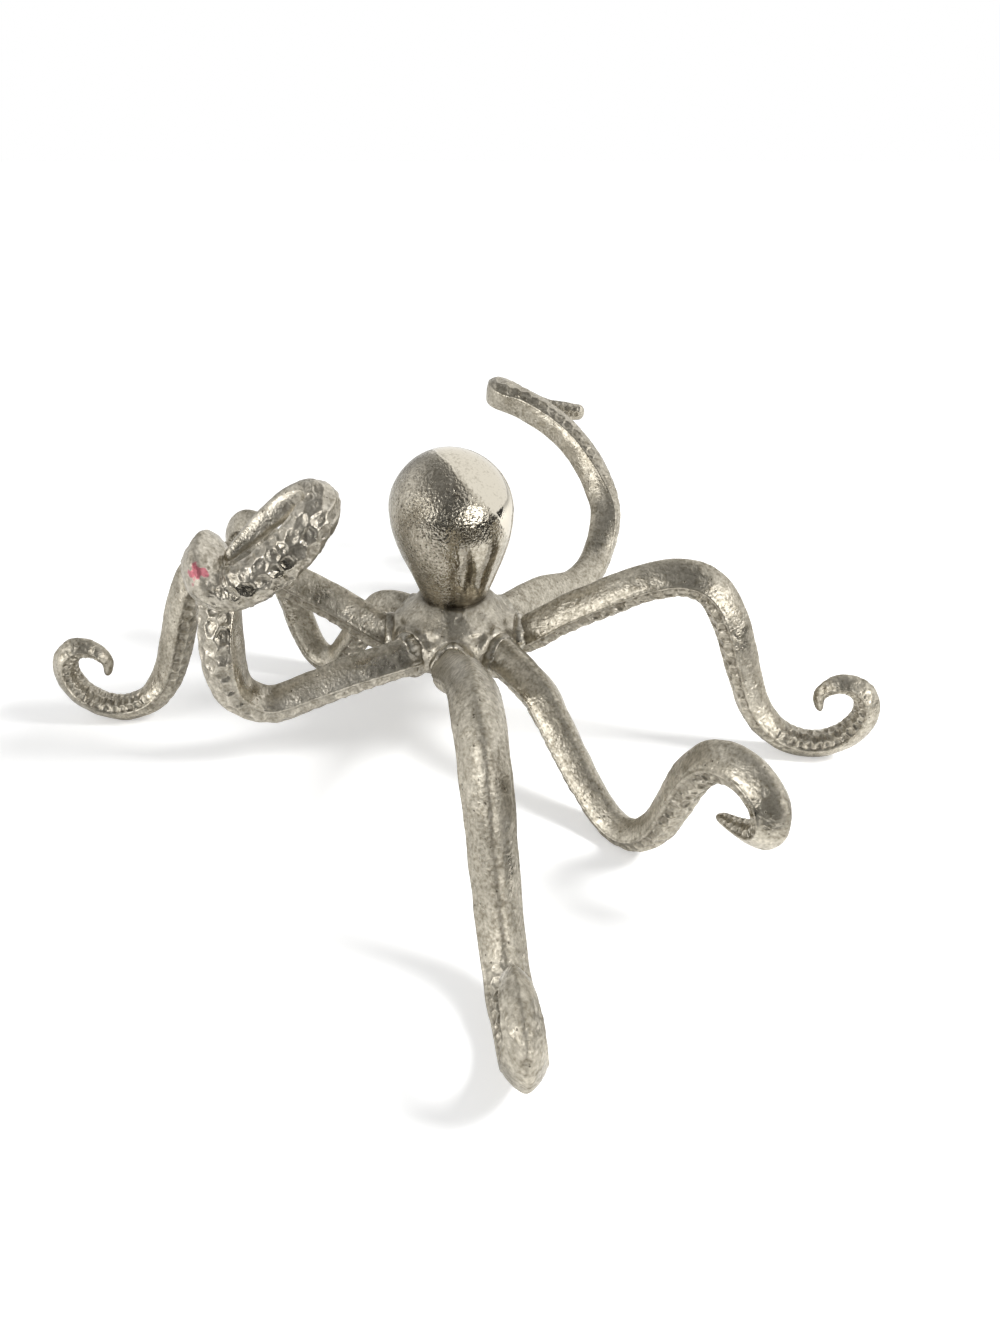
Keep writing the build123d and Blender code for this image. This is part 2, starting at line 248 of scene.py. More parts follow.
@dataclass(frozen=True)
class CastFinish:
    """Raw cast metal: a warm grey with mottling, grain, pits, and dirt and painted shade in its hollows."""

    name: str
    light: Triple = (0.67, 0.622, 0.522)
    dark: Triple = (0.265, 0.235, 0.178)
    # colour of the dirt, and of the painted shade in hollows
    shade_and_dirt: Triple = (0.065, 0.052, 0.036)
    scales: Triple = (55.0, 300.0, 850.0)  # clouds, mottling and grain to a metre
    wear: Triple = (0.8, 1.1, 1.4)  # how much each of them darkens the metal
    worn: float = 0.50  # share of the dark colour where they are even
    roughness: float = 0.38
    spread: float = 0.16  # change of roughness over the surface
    grain_spread: float = 1.4  # share of it that the grain has
    cavity_rough: float = 0.10
    grain_depth: float = 0.30 * MM
    relief: Pair = (0.70, 0.60)  # height of the grain and of the mottling, of that depth
    pits: Triple = (560.0, 0.12, 0.27)  # cells to a metre, share with a pit, its radius
    pit_depth: float = 0.6
    darkness: Pair = (0.85, 0.7)  # darkness of the dirt and painted shade in hollows, and of pits
    rubbed: float = 0.18  # how much smoother the rubbed patches are
    rubbed_edge: Pair = (0.52, 0.70)
    rubbed_stray: float = 0.25
    raw_rough: float = 0.20
    raw_relief: float = 0.5
    soot: float = 0.30  # darkening near the hub
    soot_reach: Pair = (46.0 * MM, 26.0 * MM)
    soot_edge: Pair = (0.34, 0.64)
    paint: Triple = (0.60, 0.10, 0.17)
    paint_share: float = 0.75
    paint_edge: Pair = (3.6 * MM, 1.6 * MM)
    paint_stray: float = 14.0 * MM
    smudge: Optional[Triple] = None  # middle of a spot of paint

    def material(self, middle: Array) -> bpy.types.Material:
        """Build the finish.

        Args:
            middle: the middle of the hub, or of the mantle for its own finish.

        Returns:
            The new material.
        """
        material, graph = Graph.of_material(self.name)
        ground = Ground(graph, self.scales)
        worn, dirt_and_shade_mask, rough, height = self.layers(ground, tuple(middle))
        colour = graph.mix(worn.clamped(), (*self.light, 1.0), self.dark)
        # darkened towards that colour by dirt, soot, pits and painted shade
        colour = graph.mix(dirt_and_shade_mask.clamped(), colour, self.shade_and_dirt)
        if self.smudge is not None:
            spot = graph.vector("DISTANCE", ground.coords, self.smudge)
            spot = (spot + ground.blend(0.0, self.paint_stray, 0.0)).step(*self.paint_edge)
            colour = graph.mix(spot * self.paint_share, colour, self.paint)
        bump = graph.node("Bump", {"Strength": 1.0, "Distance": self.grain_depth, "Height": height})
        surface = {"Base Color": colour, "Metallic": 1.0, "Roughness": rough.clamped()}
        shader = graph.node("BsdfPrincipled", {**surface, "Normal": bump.outputs["Normal"]})
        graph.node("OutputMaterial", {"Surface": shader.outputs[0]})
        return material

    def layers(self, ground: Ground, middle: Triple) -> tuple[Value, Value, Value, Value]:
        """Lay out the surface.

        Args:
            ground: what it is mixed from.
            middle: the middle of the hub.

        Returns:
            The wear, the dirt and painted shade, the roughness and the height of the relief.
        """
        dirt_and_shade, raw, mottle = ground.dirt_and_shade, ground.raw, ground.mottle
        pits = ground.graph.pits(ground.coords, *self.pits)
        near = ground.graph.vector("DISTANCE", ground.coords, middle).step(*self.soot_reach)
        soot = (near * mottle.step(*self.soot_edge) * self.soot).clamped()
        # dirt, soot and pits, with the painted shade in hollows
        dirt_and_shade_mask = dirt_and_shade * self.darkness[0] | pits * self.darkness[1] | soot
        bright = ground.cloud + ground.blend(0.0, self.rubbed_stray, 0.0)
        bright = bright.step(*self.rubbed_edge) * (1.0 - raw) * self.rubbed
        patchy = ground.blend(self.spread, self.spread, self.spread * self.grain_spread)
        rough = self.roughness + patchy + dirt_and_shade * self.cavity_rough + raw * self.raw_rough - bright
        height = ground.fine * self.relief[0] + mottle * self.relief[1]
        height = height * (1.0 + raw * self.raw_relief) - pits * self.pit_depth
        return ground.blend(*self.wear) + self.worn, dirt_and_shade_mask, rough, height


@dataclass(frozen=True)
class MantleFinish(CastFinish):
    """Cast metal that is polished on one side, pitted on the other and sooty at the neck."""

    scales: Triple = (70.0, 380.0, 950.0)
    wear: Triple = (0.9, 0.9, 1.4)
    worn: float = 0.54
    roughness: float = 0.20
    cavity_rough: float = 0.12
    grain_depth: float = 0.42 * MM
    relief: Pair = (0.80, 0.55)
    pits: Triple = (330.0, 0.22, 0.24)
    small_pits: Triple = (820.0, 0.55, 0.36)
    small_depth: float = 0.75
    darkness: Pair = (1.0, 0.85)
    polished: float = 0.06  # roughness of the polished side
    polish_wear: float = 0.62  # how much less of the dark colour it has
    polish_side: Triple = (0.75, 0.35, 0.55)  # the way it faces
    polish_edge: float = 9.6 * MM  # how far out it begins
    polish_stray: Triple = (6.0 * MM, 2.0 * MM, 0.0)
    polish_fade: Pair = (-0.7 * MM, 1.1 * MM)
    satin_fade: Pair = (-4.0 * MM, 10.0 * MM)  # the half polished strip beside it
    satin_share: float = 0.45
    low_side: Pair = (-1.0 * MM, 3.0 * MM)  # the polished patch below it, from the left
    low_stray: float = 6.0 * MM
    low_top: Pair = (-2.0 * MM, -7.0 * MM)
    low_share: float = 0.9
    smooth: Pair = (0.92, 0.96)  # how far polish takes away pits and grain

    def layers(self, ground: Ground, middle: Triple) -> tuple[Value, Value, Value, Value]:
        """Lay out the surface.

        Args:
            ground: what it is mixed from.
            middle: the middle of the mantle.

        Returns:
            The wear, the dirt, the roughness and the height of the relief.
        """
        graph, coords, dirt_and_shade = ground.graph, ground.coords, ground.dirt_and_shade
        outward = graph.node("VectorMath", {0: coords, 1: middle}, operation="SUBTRACT").outputs[0]
        facing = graph.vector("DOT_PRODUCT", outward, self.polish_side)
        edge = facing + ground.blend(*self.polish_stray) - self.polish_edge
        polish = edge.step(*self.polish_fade)
        low = (graph.part(outward, 0) + ground.blend(0.0, self.low_stray, 0.0)).step(*self.low_side)
        low = low * graph.part(outward, 2).step(*self.low_top) * self.low_share
        rubbed = facing.step(*self.satin_fade) * self.satin_share | low | polish
        pits = graph.pits(coords, *self.small_pits) * self.small_depth | graph.pits(coords, *self.pits)
        pits = (pits * (1.0 - rubbed * self.smooth[0])).clamped()
        worn = ground.blend(*self.wear) + self.worn - polish * self.polish_wear
        dirt_and_shade_mask = dirt_and_shade * self.darkness[0] | pits * self.darkness[1]
        satin = self.roughness + ground.blend(0.0, self.spread, self.spread)
        rough = satin + rubbed * (self.polished - satin) + dirt_and_shade * self.cavity_rough
        height = ground.fine * self.relief[0] + ground.mottle * self.relief[1]
        height = height * (1.0 - rubbed * self.smooth[1]) - pits * self.pit_depth
        return worn, dirt_and_shade_mask, rough, height


ARM_FINISH = CastFinish("cast_arm_metal")
# A lighter copy of the arm metal: painted light on the front-left arm, which also carries a spot of paint
CURL_FINISH = CastFinish(
    "cast_curl_metal", light=(0.75, 0.70, 0.60), dark=(0.32, 0.288, 0.225), roughness=0.37, rubbed=0.20,
    smudge=(-89.2 * MM, -43.6 * MM, 101.6 * MM),
)
HUB_FINISH = CastFinish(
    "cast_hub_metal", light=(0.66, 0.615, 0.52), dark=(0.33, 0.295, 0.230), roughness=0.42,
    pits=(560.0, 0.16, 0.27), soot=0.08,
)
BEAD_FINISH = CastFinish(
    "bead_metal", light=(0.64, 0.605, 0.525), pits=(560.0, 0.24, 0.27), soot=0.15
)
MANTLE_FINISH = MantleFinish("mantle_metal")


class Relief:
    """Repeatable smooth noise in space, for lumps that go into a mesh."""

    FACTORS = (73856093, 19349663, 83492791)  # large odd numbers that mix a corner's coordinates
    SEED_FACTOR = 2654435
    STIR = 1274126177
    SHIFT = 64.0  # keeps the corners above zero

    def __init__(self, seed: int) -> None:
        """Keep the seed that the noise starts from."""
        self.seed = seed

    def corner(self, cell: Array) -> Array:
        """Fixed value from -1 to 1 at each lattice corner.

        Args:
            cell: whole-number corners, three to a row.

        Returns:
            One value a row.
        """
        along, across, over = (cell[:, axis] * factor for axis, factor in enumerate(self.FACTORS))
        mixed = along ^ across ^ over ^ self.seed * self.SEED_FACTOR
        mixed = (mixed ^ (mixed >> 13)) * self.STIR & 0x7FFFFFFF
        mixed = (mixed ^ (mixed >> 16)) & 0xFFFF
        return mixed / (0xFFFF / 2) - 1.0

    def noise(self, points: Array, size: float) -> Array:
        """Smooth noise from -1 to 1.

        Args:
            points: places, three to a row.
            size: the size of its lumps.

        Returns:
            One value a row.
        """
        scaled = points / size + self.SHIFT
        base = np.floor(scaled).astype(np.int64)
        part = scaled - base
        part = part * part * part * (part * (part * 6.0 - 15.0) + 10.0)
        total = np.zeros(len(points))
        for step in range(8):
            offset = np.array([step & 1, step >> 1 & 1, step >> 2 & 1])
            weight = np.prod(np.where(offset == 1, part, 1.0 - part), axis=1)
            total += weight * self.corner(base + offset)
        return total

    def lumps(self, points: Array, kinds: Lumps) -> Array:
        """Height of lumps of several kinds, one value a row."""
        return sum(self.noise(points, size) * height for size, height in kinds)


def soft_step(low: float, high: float, values: Array) -> Array:
    """Values stepped softly from 0 at low to 1 at high."""
    share = np.clip((values - low) / (high - low), 0.0, 1.0)
    return share * share * (3.0 - 2.0 * share)


def bell(values: Array, width: float) -> Array:
    """Bell-shaped bump round zero."""
    return np.exp(-((values / width) ** 2))


def smoothed(values: Array, width: float, closed: bool = False) -> Array:
    """Values eased along their first axis by a bell-shaped window.

    Args:
        values: rows of values.
        width: the window's width, in rows.
        closed: whether the last row is followed by the first.

    Returns:
        The eased rows.
    """
    reach = int(3 * width)
    window = np.exp(-0.5 * (np.arange(-reach, reach + 1) / width) ** 2)
    window /= window.sum()
    ends = [(reach, reach)] + [(0, 0)] * (values.ndim - 1)
    padded = np.pad(values, ends, "wrap" if closed else "edge")
    columns = padded.reshape(len(padded), -1)
    eased = [np.convolve(column, window, "valid") for column in columns.T]
    return np.stack(eased, axis=1).reshape(values.shape)


def travelled(points: Array) -> Array:
    """Distance of each point from the first, along the line through all."""
    steps = np.linalg.norm(np.diff(points, axis=0), axis=1)
    return np.concatenate([[0.0], np.cumsum(steps)])


def unit(vectors: Array) -> Array:
    """Vectors at length 1, row by row."""
    return vectors / np.linalg.norm(vectors, axis=-1, keepdims=True)


def square_to(vectors: Array, along: Array) -> Array:
    """Unit vectors, turned square to the unit vectors along, row by row."""
    return unit(vectors - along * np.sum(vectors * along, axis=1)[:, None])


def plan(angle: float) -> Array:
    """Unit vector in plan, at an angle in degrees from +X."""
    return np.array([math.cos(math.radians(angle)), math.sin(math.radians(angle)), 0.0])


class Bench:
    """Handwork on meshes that every piece shares."""

    MERGE = 0.004 * MM

    @staticmethod
    def clear() -> None:
        """Leave nothing selected."""
        if bpy.context.mode != "OBJECT":
            bpy.ops.object.mode_set(mode="OBJECT")
        bpy.ops.object.select_all(action="DESELECT")

    @staticmethod
    def taken(name: str) -> bpy.types.Object:
        """Name the primitive that was just added.

        Args:
            name: the piece's name.

        Returns:
            The piece.
        """
        piece = bpy.context.active_object
        piece.name = name
        piece.data.name = name
        return piece

    @staticmethod
    def read(piece: bpy.types.Object, what: str = "co") -> Array:
        """Read a vector of each vertex of a piece.

        Args:
            piece: the piece.
            what: "co" for the places, "normal" for the normals.

        Returns:
            The vectors, three numbers to a row.
        """
        flat = np.empty(len(piece.data.vertices) * 3)
        piece.data.vertices.foreach_get(what, flat)
        return flat.reshape(-1, 3)

    @staticmethod
    def place(piece: bpy.types.Object, points: Array, dirt_and_shade: Array, raw: Optional[Array]) -> None:
        """Move a piece's vertices, and mark its dirt and painted shade and its rawest parts.

        Args:
            piece: the piece.
            points: the vertices' new places.
            dirt_and_shade: how much dirt and painted shade each one holds, from 0 to 1.
            raw: how much rougher the casting is at each one, from 0 to 1.
        """
        piece.data.vertices.foreach_set("co", points.astype(np.float32).ravel())
        # the first mark holds dirt and painted shade
        for name, values in (("dirt_and_shade", dirt_and_shade), ("raw", raw)):
            if values is not None:
                layer = piece.data.attributes.new(name, "FLOAT", "POINT")
                layer.data.foreach_set("value", np.clip(values, 0.0, 1.0).astype(np.float32))
        piece.data.update()

    @staticmethod
    def close(piece: bpy.types.Object) -> None:
        """Merge a piece's seams and poles, point its faces outwards and shade it smooth.

        Args:
            piece: the piece.
        """
        Bench.clear()
        piece.select_set(True)
        bpy.context.view_layer.objects.active = piece
        bpy.ops.object.mode_set(mode="EDIT")
        bpy.ops.mesh.select_all(action="SELECT")
        bpy.ops.mesh.remove_doubles(threshold=Bench.MERGE)
        bpy.ops.mesh.normals_make_consistent(inside=False)
        bpy.ops.object.mode_set(mode="OBJECT")
        bpy.ops.object.shade_smooth()
        piece.select_set(False)

    @staticmethod
    def hand_over(piece: bpy.types.Object, node: str, slot: Slot, finish: bpy.types.Material) -> None:
        """Dress a finished piece and put it in the place of its CAD node.

        Args:
            piece: the piece.
            node: the CAD node that it stands for.
            slot: not used.
            finish: its material.
        """
        piece.data.materials.clear()
        piece.data.materials.append(finish)
        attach(piece, "root")
        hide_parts(node)
        LOG.info("%s: %d vertices", piece.name, len(piece.data.vertices))


class Piece(ABC):
    """A piece that is modelled in the place of one CAD node."""

    node: str
    slot: ClassVar[Slot]

    @abstractmethod
    def start(self) -> bpy.types.Object:
        """Add and name the mesh that the piece is formed from."""

    @abstractmethod
    def form(self, piece: bpy.types.Object) -> Form:
        """Final place, dirt and painted shade, and rawness of each vertex of that mesh."""

    def build(self, finish: bpy.types.Material) -> None:
        """Model the piece and put it in its node's place.

        Args:
            finish: its material.
        """
        Bench.clear()
        piece = self.start()
        Bench.place(piece, *self.form(piece))
        Bench.close(piece)
        Bench.hand_over(piece, self.node, self.slot, finish)


@dataclass(frozen=True)
class ArmSection:
    """Section of an arm: two flanks that meet in a crest, and a round belly with the suckers."""

    width: float = 18.4 * MM
    depth: float = 17.2 * MM
    flank: Pair = (0.305, 0.235)  # where a flank passes, of the width and depth
    ridge: Pair = (0.5, -0.07)  # the parting ridge between flank and belly
    belly: Pair = (0.385, -0.375)
    softness: float = 0.036  # rounding of the corners, of the outline's length
    arc_points: int = 500
    loop_points: int = 3000

    @property
    def size(self) -> Array:
        """Width and depth."""
        return np.array([self.width, self.depth])

    def outline(self, columns: int, halved: bool = True) -> tuple[Array, Array, Array, float]:
        """Outline for a width and depth of 1, from the left ridge under the belly and over the back.

        Args:
            columns: the number of points.
            halved: whether half of them go to the belly; they are evenly spaced otherwise.

        Returns:
            The points and normals, the distance of each from the belly's middle, with the first
            repeated at the end, and the distance of the ridges.
        """
        ridge, mirror = np.array(self.ridge), np.array([-1.0, 1.0])
        under = self.arc(ridge, np.array(self.belly), np.array([0.0, -0.5]))
        over = self.arc(ridge, np.array(self.flank), np.array([0.0, 0.5]))
        parts = [under[:-1] * mirror, under[:0:-1], over[:-1], (over * mirror)[:0:-1]]
        loop = np.concatenate(parts)
        closed = np.concatenate([loop, loop[:1]])
        length = travelled(closed)
        even = np.linspace(0.0, length[-1], self.loop_points, endpoint=False)
        loop = np.stack([np.interp(even, length, side) for side in closed.T], axis=1)
        loop = smoothed(loop, self.softness * self.loop_points, closed=True)
        ahead = np.roll(loop, -1, axis=0) - np.roll(loop, 1, axis=0)
        normal = unit(np.stack([ahead[:, 1], -ahead[:, 0]], axis=1))
        share = length[len(parts[0]) + len(parts[1])] / length[-1]
        middle = share if halved else 0.5
        on_belly = np.linspace(0.0, middle, columns // 2, endpoint=False)
        places = np.concatenate([on_belly, np.linspace(middle, 1.0, columns // 2 + 1)])
        index = np.round(places * self.loop_points).astype(int) % self.loop_points
        half = share * length[-1] / 2
        beyond = np.where(places > (1.0 + share) / 2, 1.0, 0.0)
        return loop[index], normal[index], (places - beyond) * length[-1] - half, half

    def arc(self, start: Array, middle: Array, end: Array) -> Array:
        """Points of the arc through three points.

        Args:
            start: its start.
            middle: a point on it.
            end: its end.

        Returns:
            The points, two numbers to a row.
        """
        sides = 2.0 * np.array([middle - start, end - start])
        squares = [middle @ middle - start @ start, end @ end - start @ start]
        centre = np.linalg.solve(sides, squares)
        angles = [math.atan2(*(point - centre)[::-1]) for point in (start, middle, end)]
        first, _, last = np.unwrap(angles)
        turn = np.linspace(first, last, self.arc_points)
        radius = np.linalg.norm(start - centre)
        return centre + radius * np.stack([np.cos(turn), np.sin(turn)], axis=1)


@dataclass(frozen=True)
class Crust:
    """Where the end of an arm has rough lumps, and how strong they are."""

    rows: Pair  # over which they set in, from the swap
    girth: Pair  # at which they set in
    share: float
    ease: float = 0.0  # how much weaker they are where the end turns plain


@dataclass(frozen=True)
class Route:
    """Way of an arm, in thousandths: run, side, rise and girth at each row.

    The backs say which way the crest faces at some rows; an arm without them stays in its upright
    plane. At the swap row the crest changes sides.
    """

    rows: tuple[tuple[int, ...], ...]
    backs: dict[int, Triple] = field(default_factory=dict)
    swap: float = math.inf
    cups: float = 1.0  # depth of the suckers, of the usual one
    late_cups: Pair = (1.0, 0.0)  # the same past the swap, and how much less where the end turns plain
    crust: Crust = Crust((0.0, 1.0), (0.0, 1.0), 0.0)


def upright(*rows: tuple[int, int, int]) -> tuple[tuple[int, ...], ...]:
    """Rows of a route that keeps to its upright plane."""
    return tuple((run, 0, rise, girth) for run, rise, girth in rows)


ARCH = Route(
    upright(
        (270, 700, 990), (365, 835, 980), (460, 955, 970), (545, 1000, 960), (615, 930, 940),
        (665, 730, 920), (702, 470, 880), (740, 240, 840), (790, 80, 790), (855, 0, 750),
        (920, 12, 730), (972, 95, 720), (1000, 225, 700), (992, 345, 650), (955, 420, 580),
        (912, 405, 470), (885, 325, 330), (895, 225, 140),
    ),
    swap=7.99,
    crust=Crust((4.0, 5.5), (0.12, 0.4), 0.8),
)
DIP = Route(
    upright(
        (310, 630, 930), (375, 500, 880), (440, 335, 830), (500, 180, 790), (560, 55, 760),
        (620, 0, 750), (680, 70, 760), (725, 235, 800), (760, 480, 850), (800, 760, 880),
        (855, 950, 890), (925, 1000, 880), (980, 920, 850), (1000, 770, 790), (985, 650, 680),
        (940, 590, 500), (870, 575, 160),
    ),
)
HUMP = Route(
    upright(
        (335, 595, 980), (415, 440, 940), (485, 255, 890), (552, 85, 850), (622, 78, 830),
        (680, 215, 840), (730, 480, 860), (780, 760, 880), (850, 960, 890), (930, 985, 870),
        (990, 880, 830), (1000, 730, 750), (955, 625, 620), (880, 600, 440), (815, 640, 160),
    ),
)
CURL = Route(
    (
        (488, -9, 308, 990), (647, 4, 253, 980), (803, 7, 202, 970), (902, 0, 222, 1000),
        (966, 0, 289, 1040), (983, 0, 398, 1100), (977, -18, 504, 1120), (962, -58, 609, 1100),
        (968, -88, 713, 1020), (975, -49, 812, 880), (990, 44, 862, 860), (1022, 150, 859, 860),
        (1017, 214, 804, 860), (952, 234, 781, 920), (873, 258, 801, 980), (787, 262, 852, 1000),
        (706, 256, 909, 980), (639, 250, 979, 920), (586, 215, 1031, 820), (596, 165, 1058, 700),
        (662, 142, 1031, 660), (752, 138, 974, 600), (847, 146, 905, 460), (939, 152, 845, 160),
    ),
    backs={
        0: (30, -12, 95), 2: (10, -22, 97), 4: (-89, -29, 36), 6: (-93, -33, -10), 7: (-81, -56, -10),
        8: (-54, -85, 7), 9: (-16, -79, 59), 10: (0, -24, 96), 11: (24, 40, 89), 12: (47, 68, 57),
        13: (42, 88, 20), 14: (17, 98, 4), 16: (13, 99, -4), 18: (-47, 45, 75), 19: (-20, -30, 90),
        20: (0, -80, 60), 21: (10, -96, 30), 23: (20, -96, 20),
    },
    swap=12.4,
    cups=0.80,
    late_cups=(0.58, 0.50),
    crust=Crust((-4.0, -2.0), (0.2, 0.7), 1.0, 0.85),
)
SWEEP = Route(
    (
        (385, 8, 358, 990), (523, 0, 312, 980), (635, 0, 322, 970), (722, 11, 393, 960),
        (796, 37, 519, 950), (835, 83, 610, 940), (859, 149, 703, 930), (869, 230, 797, 930),
        (869, 334, 874, 950), (860, 451, 933, 970), (845, 545, 959, 980), (933, 600, 927, 940),
        (1033, 590, 867, 780), (1091, 525, 825, 640), (1110, 445, 829, 580), (1145, 378, 830, 400),
    ),
    backs={
        0: (20, 0, 100), 2: (-30, 10, 100), 3: (-60, 20, 75), 4: (-80, 35, 30), 5: (-75, 55, -10),
        6: (-70, 60, -35), 8: (-55, 50, -60), 9: (-45, 35, -75), 10: (-30, 60, -70), 11: (0, 90, -40),
        12: (50, 85, -20), 13: (90, 40, -10), 14: (100, 10, 0), 15: (100, 0, 0),
    },
    cups=0.55,
)


@dataclass(frozen=True)
class Seat:
    """Flat of the hub that an arm is joined to."""

    axis: Array
    angle: float
    apothem: float = 27.0 * MM
    middle: float = 46.5 * MM

    @property
    def outward(self) -> Array:
        """The way the flat faces."""
        return plan(self.angle)

    @property
    def across(self) -> Array:
        """The way along the flat, level."""
        return np.cross(UP, self.outward)

    @property
    def origin(self) -> Array:
        """The middle of the flat."""
        return self.axis + self.outward * self.apothem + UP * self.middle


@dataclass(frozen=True)
class Rings:
    """Frames of an arm's rings, one to a row of each array."""

    places: Array
    across: Array
    dorsal: Array
    girth: Array  # of the root's
    beats: Array  # distance along the arm, in suckers
    row: Array  # place on the route

    def lay(self, flat: Array) -> Array:
        """Vectors in space from vectors in each ring's own plane."""
        return flat[..., :1] * self.across[:, None, :] + flat[..., 1:] * self.dorsal[:, None, :]


@dataclass(frozen=True)
class SuckerFace:
    """Shallow suckers between two parting ridges; lengths are shares of the arm's width."""

    MIXES: ClassVar = ((12.9898, 78.233, 3.17, 43758.5453), (39.3468, 11.135, 7.31, 24634.6345))
    FAR: ClassVar = 9.0  # further than any sucker, to start the search from

    pitch: float = 0.325  # length of a sucker along the arm
    rows: float = 0.285  # spacing of the rows of suckers
    side_rows: int = 3  # rows beside the middle one
    depth: float = 0.064
    depths: Pair = (0.62, 0.65)  # the least depth of a cup and the most that is added, of that depth
    stray: Pair = (0.34, 0.32)  # how far suckers stray along and across the arm, of their size
    wall: Pair = (0.02, 0.42)  # where the wall between two cups begins and ends
    bowl: float = 0.62  # radius of the hollow in a cup's floor
    floor: float = 0.55  # depth of the floor without the hollow
    edge: Pair = (0.01, 0.10)  # where the suckers begin, from the ridge
    ridge_width: float = 0.035
    ridge_height: float = 0.50 * MM
    ridge_girth: Pair = (0.2, 0.6)  # girth at which the ridges set in
    gutter: Pair = (0.075, 0.03)  # place and width of the groove beside a ridge
    gutter_depth: float = 0.5  # of the ridge's height
    root_fade: float = 1.5  # suckers over which the face sets in at the root
    girth_fade: Pair = (0.16, 0.42)  # girth at which it does at the tip
    shade_from: float = 0.25  # depth at which the painted shade begins
    shade_and_dirt: Pair = (0.52, 0.45)  # painted shade in the cups and in the gutters

    @staticmethod
    def chance(cell: Array, row: int, seed: int, mix: tuple[float, ...]) -> Array:
        """Fixed value from 0 to 1 for each sucker."""
        value = np.sin(cell * mix[0] + row * mix[1] + seed * mix[2]) * mix[3]
        return value - np.floor(value)

    def cups(self, beats: Array, over: Array, seed: int) -> Array:
        """Relief of the cups, in cup depths.

        Args:
            beats: distance along the arm, in suckers.
            over: distance from the belly's middle.
            seed: what the cups' unevenness starts from.

        Returns:
            Height of the relief, about 0 on the walls and -1 in the cups.
        """
        near = np.full(np.broadcast(beats, over).shape, self.FAR)
        second = near.copy()
        depth = np.ones_like(near)
        stretch = self.pitch / self.rows
        for row in range(-self.side_rows, self.side_rows + 1):
            shift = 0.5 * (row % 2)
            base = np.floor(beats - shift)
            for step in (-1, 0, 1, 2):
                cell = base + step
                wobble, other = (self.chance(cell, row, seed, mix) for mix in self.MIXES)
                gap_along = (beats - shift - cell - (wobble - 0.5) * self.stray[0]) * stretch
                gap_over = over / self.rows - row - (other - 0.5) * self.stray[1]
                gap = np.hypot(gap_along, gap_over)
                closer = gap < near
                second = np.where(closer, near, np.minimum(second, gap))
                depth = np.where(closer, self.depths[0] + self.depths[1] * wobble, depth)
                near = np.minimum(near, gap)
        wall = soft_step(*self.wall, second - near)
        bowl = 1.0 - np.clip(near / self.bowl, 0.0, 1.0) ** 2
        return -(self.floor * wall + (1.0 - self.floor) * bowl * wall) * depth

    def relief(
        self, rings: Rings, width: float, columns: tuple[Array, float], share: Array, seed: int
    ) -> tuple[Array, Array]:
        """Relief and painted shade of the face.

        Args:
            rings: the arm's rings.
            width: the width of the arm's root.
            columns: the distance of each column from the face's middle, and that of the ridges.
            share: how much of the relief each ring has.
            seed: what the cups' unevenness starts from.

        Returns:
            The height of the relief in metres and the painted shade in it, for each ring and column.
        """
        over, half = columns
        inside = half - np.abs(over)[None, :]
        face = soft_step(*self.edge, inside)
        ridges = bell(inside, self.ridge_width)
        gutter = bell(inside - self.gutter[0], self.gutter[1])
        cups = self.cups(rings.beats[:, None], over[None, :], seed + int(over[0] > 0))
        fade = share * soft_step(0.0, self.root_fade, rings.beats)
        fade = (fade * soft_step(*self.girth_fade, rings.girth))[:, None]
        relief = cups * face * self.depth * width * rings.girth[:, None] * fade
        ridges = (ridges - gutter * self.gutter_depth) * self.ridge_height * fade
        relief += ridges * soft_step(*self.ridge_girth, rings.girth)[:, None]
        # painted shade in the cups and in the grooves beside the ridges
        shade_and_dirt = np.clip(-cups - self.shade_from, 0.0, 1.0) * face * self.shade_and_dirt[0]
        return relief, (shade_and_dirt + gutter * self.shade_and_dirt[1]) * fade


